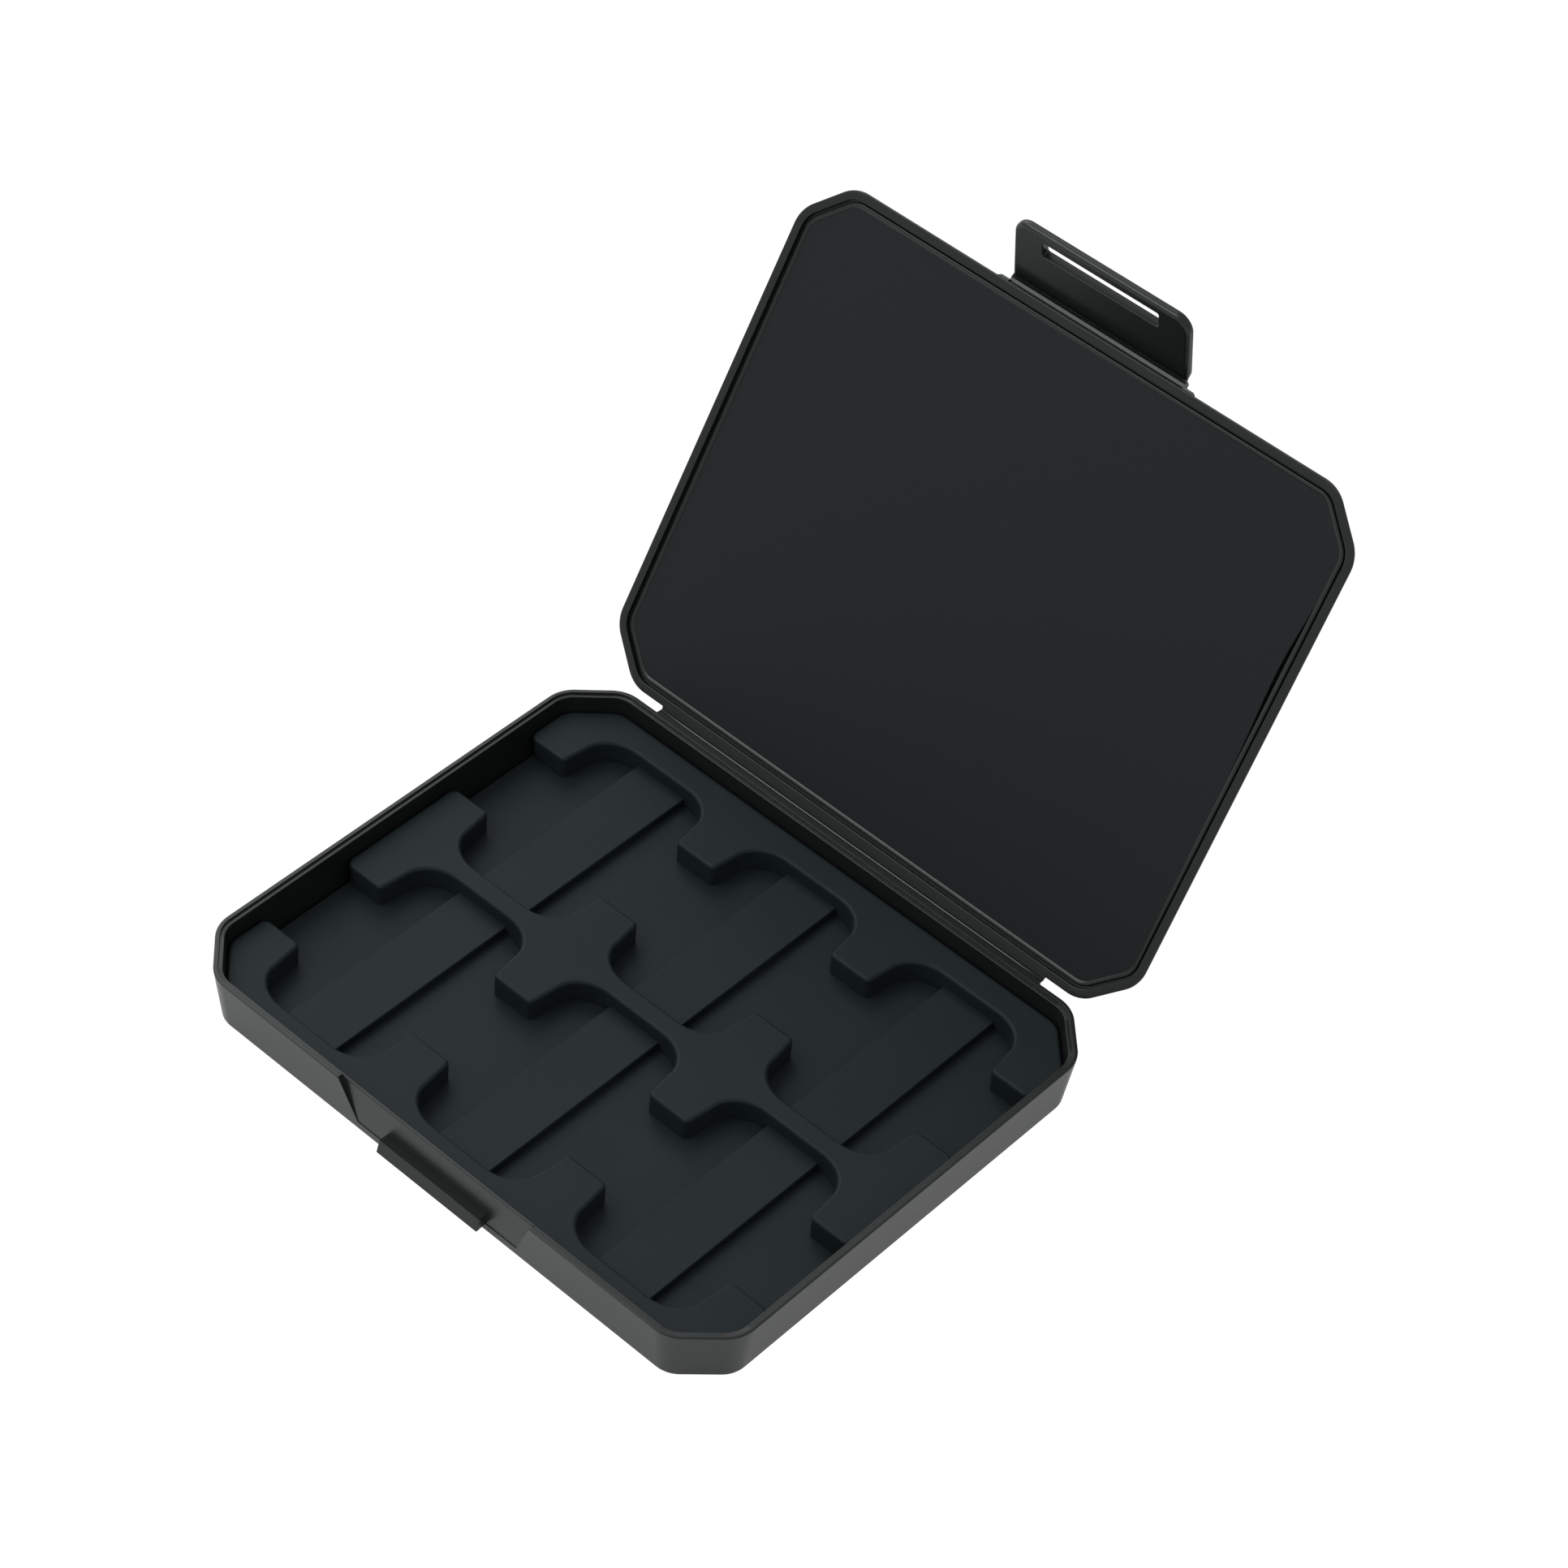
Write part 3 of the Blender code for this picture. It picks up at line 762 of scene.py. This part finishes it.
def catch_body(sizes):
    """The catch: a rounded section carried along X, drawn in towards the wall at each end by a
    quarter round."""
    floor = -sizes.depth / 2 + RECESS_DEPTH
    shelf = floor - CATCH_SHELF
    low = CATCH_TOP - CATCH_HEIGHT
    nose = shelf - CATCH_SLOPE
    root = floor + JOIN
    section = soft_line([
        (root, CATCH_TOP, 0), (shelf, CATCH_TOP, CATCH_ROUND), (nose, low, CATCH_ROUND),
        (root, low + CATCH_UNDERCUT, 0),
    ])
    draw, short = quarter(CATCH_END_ROUND)
    out = CATCH_HALF - short
    place = np.concatenate((-out[::-1], out))
    draw = np.concatenate((draw[::-1], draw))[:, None]
    y = np.minimum(section[:, 0] + draw, root)
    middle = CATCH_TOP - CATCH_HEIGHT / 2
    z = middle + (section[:, 1] - middle) * (1 - draw / CATCH_HEIGHT)
    return shell(np.stack(np.broadcast_arrays(place[:, None], y, z), -1))


def tray_inset(sizes, z):
    """How far the tray stands in from the plan: a slip fit inside the base's wall."""
    return wall_inset(sizes, z) + SIDE_FIT


def tray_rows(sizes):
    """The (front, back) limits in Y of the two rows of pockets."""
    edge = sizes.depth / 2 - tray_inset(sizes, TRAY_TOP)
    return (-edge + FRONT_STRIP, BAND_SHIFT - BAND / 2), (BAND_SHIFT + BAND / 2, edge - BACK_STRIP)


def finger_edges(row):
    """The Y limits of the finger gap across a row."""
    middle = (row[0] + row[1]) / 2 + FINGER_SHIFT
    return middle - FINGER_GAP / 2, middle + FINGER_GAP / 2


def pocket_columns():
    """The X of each pocket's middle."""
    return PITCH * (np.arange(COLUMNS) - (COLUMNS - 1) / 2)


def pocket_edge(wall, tip):
    """The edge of a strip with its stubs as (x, y, radius), left to right: down each stub's side,
    then a quarter of an ellipse, x = a (1 - cos t) and y = b (1 - sin t), to the flat wall, and
    back mirrored."""
    angle = np.linspace(0, np.pi / 2, POCKET_STEPS + 1)
    mouth = (PITCH - STUB) / 2
    x = np.concatenate(((mouth,), mouth - STUB_SPREAD - POCKET_X * (1 - np.cos(angle))))
    y = np.concatenate(((tip,), wall + math.copysign(POCKET_Y, tip - wall) * (1 - np.sin(angle))))
    radius = np.where(np.arange(len(x)) == 0, STUB_ROUND, 0)
    pocket = np.stack((np.concatenate((-x, x[::-1])), np.concatenate((y, y[::-1])),
                       np.concatenate((radius, radius[::-1]))), 1)
    places = pocket_columns()[:, None, None] * (1, 0, 0)
    return (places + pocket).reshape(-1, 3)


def front_strip(sizes, inset, wall, tip):
    """The plan of the strip along the front, anticlockwise: round the case's front corners, then
    back along the stubs."""
    ring = case_rings(sizes, [inset])[0].reshape(8, CORNER_POINTS, 2)
    round_front = ring[[7, 0, 1, 2]].reshape(-1, 2)
    x = sizes.length / 2 - inset
    outer = np.vstack(((-x, tip), round_front, (x, tip)))
    outer = np.column_stack((outer, np.zeros(len(outer))))
    outer[[0, -1], 2] = TRAY_CORNER
    return soft_line(np.concatenate((outer, pocket_edge(wall, tip)[::-1])))


def band_strip(sizes, inset, rows):
    """The plan of the band between the two rows, with stubs on both sides."""
    x = sizes.length / 2 - inset
    front, back = finger_edges(rows[0])[1], finger_edges(rows[1])[0]
    soft = TRAY_CORNER
    return soft_line(np.concatenate((
        [(-x, front, soft)], pocket_edge(rows[0][1], front), [(x, front, soft)],
        [(x, back, soft)], pocket_edge(rows[1][0], back)[::-1], [(-x, back, soft)],
    )))


def strip_body(sizes, plan):
    """A raised part of the tray: its plan follows the case's leaning wall up to the top, and the
    top edge is a quarter round."""
    heights = (FLOOR + FIT + JOIN, TRAY_TOP - TRAY_EDGE)
    rings = [lifted(plan(tray_inset(sizes, z)), z) for z in heights]
    top = plan(tray_inset(sizes, TRAY_TOP))
    rings += [lifted(moved_in(top, inwards), TRAY_TOP - down)
              for inwards, down in zip(*quarter(TRAY_EDGE, EDGE_STEPS + 1))][1:]
    return shell(rings)


def tray_body(sizes):
    """The insert: a floor, three strips with stubs, and a flat bar down the middle of each
    pocket. The strip along the back is the front one's plan turned by half a turn."""
    low = FLOOR + FIT
    top = low + TRAY_FLOOR
    rows = tray_rows(sizes)
    foot = tray_inset(sizes, low) + FLOOR_SETBACK
    insets = (foot + FLOOR_ROUND, foot, tray_inset(sizes, top) + FLOOR_SETBACK)
    heights = (low, low + FLOOR_ROUND / 2, top)
    floor = [lifted(plan, z) for plan, z in zip(case_rings(sizes, insets), heights)]
    front, back = finger_edges(rows[0])[0], finger_edges(rows[1])[1]
    strips = (
        lambda inset: front_strip(sizes, inset, rows[0][0], front),
        lambda inset: band_strip(sizes, inset, rows),
        lambda inset: -front_strip(sizes, inset, -rows[1][1], -back),
    )
    bodies = [shell(floor), *(strip_body(sizes, plan) for plan in strips)]
    half, high = BAR / 2, top + BAR_HEIGHT
    for near, far in rows:
        for column in pocket_columns():
            section = soft_line([
                (column - half, low + JOIN, 0), (column + half, low + JOIN, 0),
                (column + half, high, BAR_EDGE), (column - half, high, BAR_EDGE),
            ])
            bodies.append(bar_body(section, near - JOIN, far + JOIN, 1))
    return joined(bodies)


def on_lid(sizes, points):
    """Places on the lid, from its hinge edge v and above its flange n, turned open on the
    crease: (x, v, n) is (x, -(v + reach), rest - n) from it, turned by the lid's angle."""
    y = -(points[..., 1] + LID_REACH)
    z = LID_REST + HINGE_DROP - points[..., 2]
    cosine, sine = math.cos(sizes.lid_angle), math.sin(sizes.lid_angle)
    return np.stack((
        points[..., 0],
        sizes.depth / 2 + HINGE_REACH + y * cosine + z * sine,
        sizes.base_height - HINGE_DROP - y * sine + z * cosine,
    ), -1)


def lid_profile():
    """The lid's wall as rows of (inset, n) from the outer face over the sloped side to the flange,
    and then on to the liner's pocket. From the groove the bead rises by a quarter of an ellipse,
    x = a (1 - cos t) and n = b sin t, and falls by an arc, n = sqrt(R^2 - x^2) - R."""
    groove = FLANGE + GROOVE
    outside = soft_line([
        ((LID_THICK - RIM_ROUND) * LID_SLOPE + CAP_INSET, -LID_THICK, 0),
        ((LID_THICK - RIM_ROUND) * LID_SLOPE, -LID_THICK, LID_ROUND),
        (RIM_ROUND * LID_SLOPE / 2 + (TONGUE_DEPTH - RIM_ROUND) * LID_SLOPE, -TONGUE_DEPTH, 0),
        ((HINGE_LEAF + RIM_ROUND) * LID_SLOPE, -2 * HINGE_LEAF, 0),
        (RIM_ROUND * LID_SLOPE, -HINGE_LEAF, 0),
        (0, 0, RIM_ROUND), (FLANGE / 2, 0, 0),
    ])
    inside = soft_line([
        (FLANGE / 2, 0, 0), (FLANGE, 0, FLANGE_ROUND), (FLANGE, -GROOVE_DEPTH, STEP_ROUND),
        (groove, -GROOVE_DEPTH, 0),
    ])[1:]
    angle = np.linspace(0, np.pi / 2, BEAD_STEPS)[1:]
    rise = np.stack((groove + BEAD_RISE * (1 - np.cos(angle)),
                     -GROOVE_DEPTH + (GROOVE_DEPTH - BEAD_DEPTH) * np.sin(angle)), 1)
    along = np.linspace(0, BEAD - BEAD_RISE, BEAD_STEPS)[1:]
    fall = np.stack((groove + BEAD_RISE + along,
                     -BEAD_DEPTH - BEAD_SOFT + np.sqrt(BEAD_SOFT ** 2 - along ** 2)), 1)
    pocket = [(groove + BEAD, -POCKET_DEPTH), (groove + BEAD + CAP_INSET, -POCKET_DEPTH)]
    return outside, np.concatenate((inside, rise, fall, pocket))


def lid_body(sizes):
    """The lid: its rows swept round the plan, turned half a turn in the plan so that its front run
    is the free side. Along the hinge the edge reaches out as the lid's half of the hinge strip."""
    outside, inside = lid_profile()
    profile = np.concatenate((outside, inside))
    inset, n = profile[:, :1], profile[:, 1:]
    plans = case_rings(sizes, profile[:, 0], back=hinge_marks())
    outer = np.arange(len(profile))[:, None] < len(outside)
    edge = np.minimum(inset, RIM_ROUND)

    back = hinge_run()
    reach = LID_REACH - CREASE_GAP
    rise = np.clip((n + 2 * HINGE_LEAF) / HINGE_LEAF, 0, 1)
    moves = outer & (inset < RIM_ROUND + TINY)
    out = np.where(moves, rise * (reach + inset - edge), 0)
    plans[:, back, 1] += out * hinge_share(plans[:, back, 0])
    rings = np.stack((-plans[..., 0], sizes.depth / 2 - plans[..., 1], n + 0 * plans[..., 0]), -1)
    return shell(on_lid(sizes, rings))


def tongue_body(sizes):
    """The tongue that carries the latch: a flat plate with softened edges."""
    root, end = sizes.depth - FLANGE, sizes.depth + TONGUE_REACH - CREASE_GAP
    plan = soft_line([
        (-LATCH_HALF, root, 0), (LATCH_HALF, root, 0),
        (LATCH_HALF, end, TONGUE_ROUND), (-LATCH_HALF, end, TONGUE_ROUND),
    ])
    inset, rise = quarter(TONGUE_ROUND, EDGE_STEPS - 1)
    under = -LID_THICK + RIM_ROUND
    rings = [lifted(moved_in(plan, d), under + r) for d, r in zip(inset[::-1], rise[::-1])]
    rings += [lifted(moved_in(plan, d), -TONGUE_DEPTH - r) for d, r in zip(inset, rise)]
    return shell(on_lid(sizes, np.array(rings)))


def liner_body(sizes):
    """The liner: a thin plate in the lid's pocket, its edge a small quarter round. Part of its
    right side has crept in from the bead by a smooth bump, c sin(pi s^g) squared, where s is the
    way along from the bump's start to its end and g puts its highest place at the peak."""
    wall = FLANGE + GROOVE + BEAD - LINER_TUCK
    low, top = -POCKET_DEPTH + FIT, -LINER_DEPTH
    inwards, down = quarter(LINER_ROUND)
    inset = np.concatenate(((wall,), wall + inwards))
    n = np.concatenate(((low,), top - down))
    along = np.linspace(CREEP_START, CREEP_END, CREEP_STEPS)
    plans = case_rings(sizes, inset, right=along - sizes.depth / 2)
    x, v = plans[..., 0], plans[..., 1] + sizes.depth / 2
    way = np.clip((v - CREEP_START) / (CREEP_END - CREEP_START), 0, 1)
    power = math.log(0.5) / math.log((CREEP_PEAK - CREEP_START) / (CREEP_END - CREEP_START))
    x = x - np.where(x > 0, CREEP * np.sin(np.pi * way ** power) ** 2, 0)
    return shell(on_lid(sizes, np.stack((x, v, n[:, None] + 0 * x), -1)))


def on_flap(sizes, points):
    """Places on the flap, from its crease s and above its inner face h, turned on the latch's
    crease and then placed on the lid."""
    s, h = points[..., 1], points[..., 2]
    cosine, sine = math.cos(LATCH_ANGLE), math.sin(LATCH_ANGLE)
    v = sizes.depth + TONGUE_REACH + s * cosine - h * sine
    n = -TONGUE_DEPTH + s * sine + h * cosine
    return on_lid(sizes, np.stack((points[..., 0], v, n), -1))


def flap_plan(inset, start):
    """The flap's outline moved in by an inset, nearly square at the crease and widely rounded at
    the tip."""
    root, end, soft = LATCH_HALF - inset, LATCH_LENGTH - inset, LATCH_TIP_ROUND - inset
    return soft_corners([
        (-root, start, TONGUE_ROUND), (root, start, TONGUE_ROUND),
        (root - LATCH_TAPER, end, soft), (-root + LATCH_TAPER, end, soft),
    ], CORNER_STEPS)


def flap_edge(inset, height):
    """The flap's outline at a height; past the thin web its root stands back from the crease."""
    return flap_plan(inset, CREASE_GAP + max(0, -height - LATCH_WEB))


def slot_plan(outset, height):
    """The slot's outline moved out by an outset; its crease side leans in towards the catch."""
    lip = LATCH_LENGTH - LIP
    near = lip - CATCH_HEIGHT - SLOT_OVER + SLOT_LEAN * height / LATCH_THICK - outset
    half = CATCH_HALF + SLOT_SIDE + outset
    soft = SLOT_ROUND + outset
    return soft_corners([
        (-half, near, soft), (half, near, soft),
        (half, lip + outset, soft), (-half, lip + outset, soft),
    ], CORNER_STEPS)


def flap_body(sizes):
    """The flap as one surface that runs round the slot and round the plate's section: inner face,
    rounded rim, outer face, slot wall. Each quarter round leads from or to a flat face, and a
    line close beside it holds that face flat."""
    sides = (
        (flap_edge, LATCH_INNER_ROUND, 0, True),
        (flap_edge, LATCH_OUTER_ROUND, -LATCH_THICK, False),
        (slot_plan, SLOT_EDGE, -LATCH_THICK, True),
        (slot_plan, SLOT_EDGE, 0, False),
    )
    rings = []
    for plan, radius, face, leads in sides:
        up = math.copysign(1, face + LATCH_THICK / 2)
        rows = [lifted(plan(inwards, face - up * down), face - up * down)
                for inwards, down in zip(*quarter(radius, EDGE_STEPS + 1))]
        rows.append(lifted(plan(radius + EDGE_HOLD, face), face))
        rings += rows[::-1] if leads else rows
    return shell(on_flap(sizes, np.array(rings)), around=True)


def hinge_edges(sizes):
    """The (y, z) of the two edges that the hinge's web joins, on the base and on the lid."""
    crease_y = sizes.depth / 2 + HINGE_REACH
    base_edge = np.array((crease_y - CREASE_GAP, sizes.base_height - RIM_ROUND / 3))
    return base_edge, on_lid(sizes, np.array((0, CREASE_GAP - LID_REACH, -RIM_ROUND / 3)))[1:]


def ledge_body(sizes):
    """The ledge that carries the latch along the flange's edge: an upright side, a top that slopes
    away, and a steep front down to the tongue."""
    low = LEDGE_DROP + LEDGE_WIDE * LEDGE_FALL
    under = TONGUE_DEPTH + RIM_ROUND
    section = soft_line([
        (-FLANGE / 2, -RIM_ROUND, 0), (LEDGE_OUT, -RIM_ROUND, 0),
        (LEDGE_OUT, -LEDGE_DROP, RIM_ROUND / 4), (LEDGE_WIDE, -low, LEDGE_SOFT),
        (LEDGE_FRONT, -under, 0), (-FLANGE / 2, -under, 0),
    ])
    points, faces = bar_body(section + (sizes.depth, 0), LEDGE_SHIFT - LATCH_HALF,
                             LEDGE_SHIFT + LATCH_HALF, 0)
    return on_lid(sizes, points), faces


def ear_body(sizes, side):
    """The thin ear beside the ledge, on the left for -1 or the right for 1: its top slopes away
    from the flange's edge, and its width fades evenly to nothing at its end."""
    x = EAR_SHIFT + side * (LATCH_HALF + np.array((EAR_GAP, EAR_LONG - EAR_FADE, EAR_LONG)))
    width = EAR_WIDE * np.array((1, 1, 0))
    top = -RIM_ROUND / 2
    low = top - LEDGE_DROP * width / EAR_WIDE - RIM_ROUND / 2
    out = sizes.depth + LEDGE_OUT
    root = sizes.depth - FLANGE / 2
    v = np.stack(np.broadcast_arrays(root, out, out + width, out, root), 1)
    n = np.stack(np.broadcast_arrays(top, top, top - width * EAR_FALL, low, low), 1)
    return shell(on_lid(sizes, np.stack(np.broadcast_arrays(x[:, None], v, n), -1)))


def web_section(sizes, drop):
    """The section of the latch's web: its inner side is a smooth hollow, (1 - s)^2 A +
    2 s (1 - s) C + s^2 B, from A on the tongue over the crease C to B on the flap, with B lowered
    by a drop."""
    edge = sizes.depth + TONGUE_REACH
    face = WEB_PROUD - TONGUE_DEPTH
    tongue, crease, root = on_lid(sizes, np.array((
        (0, edge - WEB_TONGUE, face), (0, edge, face),
        (0, edge - WEB_TONGUE, -TONGUE_DEPTH - WEB_DEEP))))[:, 1:]
    flap, low = on_flap(sizes, np.array((
        (0, WEB_FLAP, WEB_PROUD - drop), (0, WEB_LOW_FLAP, -WEB_DEEP))))[:, 1:]
    share = np.linspace(0, 1, WEB_STEPS)[:, None]
    top = (1 - share) ** 2 * tongue + 2 * share * (1 - share) * crease + share ** 2 * flap
    return np.vstack((top, low, root))


def make_latch_web(sizes):
    """The web of the latch's own hinge: a wedge between the tongue and the flap that keeps below
    the flap's rounded sides at its ends."""
    full, small = web_section(sizes, 0), web_section(sizes, WEB_DROP)
    half, inner = LATCH_HALF - WEB_SHORT, LATCH_HALF - LATCH_INNER_ROUND
    rings = [np.column_stack((np.full(len(plan), x), plan))
             for x, plan in ((-half, small), (-inner, full), (inner, full), (half, small))]
    web = make_piece("latch_web", shell(rings), satin_shell_plastic)
    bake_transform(web)


def make_hinge_web(sizes):
    """The thin web of the main hinge: a strip from edge to edge that runs on a little into each
    leaf, its top a shallow curve."""
    base_edge, lid_edge = hinge_edges(sizes)
    share = np.linspace(-HINGE_WEB_OVER, 1 + HINGE_WEB_OVER, HINGE_WEB_STEPS)[:, None]
    top = base_edge + share * (lid_edge - base_edge)
    top[:, 1] -= HINGE_WEB_DIP * np.sin(np.pi * np.clip(share[:, 0], 0, 1))
    section = np.concatenate((top, top[::-1] - (0, HINGE_WEB_THICK)))
    body = bar_body(section, -HINGE_HALF, HINGE_HALF, 0)
    web = make_piece("hinge_web", body, hinge_plastic_painted_highlight)
    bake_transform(web)


class CASE_OT_base_tub(bpy.types.Operator):
    """Makes the base with its stepped rim, recess and catch"""

    bl_idname = "case.base_tub"
    bl_label = "Base"

    def execute(self, context):
        sizes = context.scene.case_sizes
        body = joined((base_body(sizes), catch_body(sizes)))
        make_piece("base_tub", body, satin_shell_plastic, "base", "base_shell")
        return {"FINISHED"}


class CASE_OT_insert(bpy.types.Operator):
    """Makes the soft insert with its six pockets"""

    bl_idname = "case.insert"
    bl_label = "Insert"

    def execute(self, context):
        body = tray_body(context.scene.case_sizes)
        make_piece("insert_tray", body, soft_insert_rubber, "base",
                   "pocket_insert")
        return {"FINISHED"}


class CASE_OT_lid(bpy.types.Operator):
    """Makes the lid with its groove, bead and tongue"""

    bl_idname = "case.lid"
    bl_label = "Lid"

    def execute(self, context):
        sizes = context.scene.case_sizes
        body = joined((lid_body(sizes), tongue_body(sizes), ledge_body(sizes),
                       ear_body(sizes, -1), ear_body(sizes, 1)))
        make_piece("lid_panel", body, satin_shell_plastic, "lid", "lid_shell")
        return {"FINISHED"}


class CASE_OT_liner(bpy.types.Operator):
    """Makes the dark liner inside the lid"""

    bl_idname = "case.liner"
    bl_label = "Liner"

    def execute(self, context):
        body = liner_body(context.scene.case_sizes)
        make_piece("lid_lining", body, dense_liner_sheet, "lid", "lid_liner")
        return {"FINISHED"}


class CASE_OT_latch(bpy.types.Operator):
    """Makes the slotted latch flap"""

    bl_idname = "case.latch"
    bl_label = "Latch"

    def execute(self, context):
        sizes = context.scene.case_sizes
        make_piece("latch_plate", flap_body(sizes), satin_shell_plastic, "latch",
                   "latch_flap")
        make_latch_web(sizes)
        return {"FINISHED"}


class CASE_OT_hinge(bpy.types.Operator):
    """Makes the thin web of the living hinge"""

    bl_idname = "case.hinge"
    bl_label = "Hinge web"

    def execute(self, context):
        make_hinge_web(context.scene.case_sizes)
        return {"FINISHED"}


class CASE_OT_stage(bpy.types.Operator):
    """Makes the floor, the light and the camera"""

    bl_idname = "case.stage"
    bl_label = "Stage"

    def execute(self, context):
        settings = context.scene.case_stage
        make_floor()
        make_surround(settings.surround)
        make_lamp("side_lamp", settings.side_lamp, *SIDE_LAMP)
        make_lamp("front_lamp", settings.front_lamp, *FRONT_LAMP)
        make_camera()
        context.scene.view_settings.view_transform = "Standard"
        return {"FINISHED"}


def make_floor():
    """A wide white floor that keeps a soft shadow: to the camera, and partly in reflections, its
    white is its own."""
    half = FLOOR_HALF
    corners = [(-half, -half, 0), (half, -half, 0), (half, half, 0), (-half, half, 0)]
    mesh = bpy.data.meshes.new("studio_floor")
    mesh.from_pydata(corners, [], [(0, 1, 2, 3)])
    floor = new_object("studio_floor", mesh)
    mesh.materials.append(bpy.data.materials.new("white_floor"))
    finish = Finish(mesh.materials[0])
    finish.set(Base_Color=FLOOR_COLOUR, Roughness=FLOOR_ROUGH, Specular_IOR_Level=FLOOR_SPECULAR)
    seen = finish.node("ShaderNodeLightPath", {}, output="Is Camera Ray")
    mirrored = finish.node("ShaderNodeLightPath", {}, output="Is Glossy Ray")
    share = WHITE_SEEN * seen + WHITE_MIRRORED * mirrored
    plain = Value(finish, finish.shader.outputs["BSDF"])
    white = finish.node("ShaderNodeEmission", {}, WHITE, FLOOR_WHITE)
    mixed = finish.node("ShaderNodeMixShader", {}, share, plain, white)
    finish.put(finish.tree.nodes["Material Output"].inputs["Surface"], mixed)


def make_surround(strength):
    """White surroundings: full white to the camera, and a plain level of light on the case."""
    world = bpy.data.worlds.new("white_surround")
    finish = Finish(world)
    seen = finish.node("ShaderNodeLightPath", {}, output="Is Camera Ray")
    level = finish.node("ShaderNodeMapRange", {}, Value=seen, To_Min=strength, To_Max=1.0)
    finish.set(Color=WHITE, Strength=level)
    bpy.context.scene.world = world


def make_lamp(name, power, size, place):
    """A square soft lamp that faces the case."""
    data = bpy.data.lights.new(name, "AREA")
    data.shape = "SQUARE"
    data.size = size
    data.energy = power
    lamp = new_object(name, data)
    lamp.location = place
    lamp.rotation_euler = Vector(place).to_track_quat("Z", "Y").to_euler()


def make_camera():
    """The camera at the picture's place. From looking straight down it is turned about its line
    of sight by the roll, raised to look down by the elevation, and turned round by the azimuth."""
    data = bpy.data.cameras.new("picture_camera")
    data.sensor_width = CAMERA_SENSOR
    data.lens = CAMERA_LENS
    data.clip_start = CAMERA_NEAR
    data.clip_end = CAMERA_FAR
    camera = new_object("picture_camera", data)
    camera.matrix_world = (Matrix.Translation(CAMERA_PLACE)
                           @ Matrix.Rotation(CAMERA_AZIMUTH, 4, "Z")
                           @ Matrix.Rotation(math.pi / 2 - CAMERA_ELEVATION, 4, "X")
                           @ Matrix.Rotation(CAMERA_ROLL, 4, "Z"))
    bpy.context.scene.camera = camera


SETTINGS = {"case_sizes": CaseSizes, "case_finishes": CaseFinishes, "case_stage": StageSettings}
PIECES = (CASE_OT_base_tub, CASE_OT_insert, CASE_OT_lid, CASE_OT_liner, CASE_OT_latch,
          CASE_OT_hinge, CASE_OT_stage)


class CASE_PT_sidebar(bpy.types.Panel):
    """Lists the case's pieces and settings in the sidebar."""

    bl_idname = "CASE_PT_sidebar"
    bl_label = "Filter Case"
    bl_space_type = "VIEW_3D"
    bl_region_type = "UI"
    bl_category = "Filter Case"

    def draw(self, context):
        for setting, group in SETTINGS.items():
            box = self.layout.box()
            for name in group.__annotations__:
                box.prop(getattr(context.scene, setting), name)
        for piece in PIECES:
            self.layout.operator(piece.bl_idname)


CLASSES = (*SETTINGS.values(), *PIECES, CASE_PT_sidebar)


def register():
    """Adds the classes and the settings to Blender."""
    for made in CLASSES:
        bpy.utils.register_class(made)
    for name, group in SETTINGS.items():
        setattr(bpy.types.Scene, name, PointerProperty(type=group))


def unregister():
    """Takes the settings and the classes out again."""
    for name in SETTINGS:
        delattr(bpy.types.Scene, name)
    for made in reversed(CLASSES):
        bpy.utils.unregister_class(made)


def clear_scene():
    """Takes out what a new scene holds, apart from the frame."""
    kept = set(frame["nodes"].values()) | set(frame["bodies"].values())
    for obj in [obj for obj in bpy.context.scene.objects if obj not in kept]:
        bpy.data.objects.remove(obj)


def main():
    """Makes every piece and the stage."""
    register()
    clear_scene()
    bpy.ops.case.base_tub()
    bpy.ops.case.insert()
    bpy.ops.case.lid()
    bpy.ops.case.liner()
    bpy.ops.case.latch()
    bpy.ops.case.hinge()
    bpy.ops.case.stage()


if __name__ == "__main__":
    main()
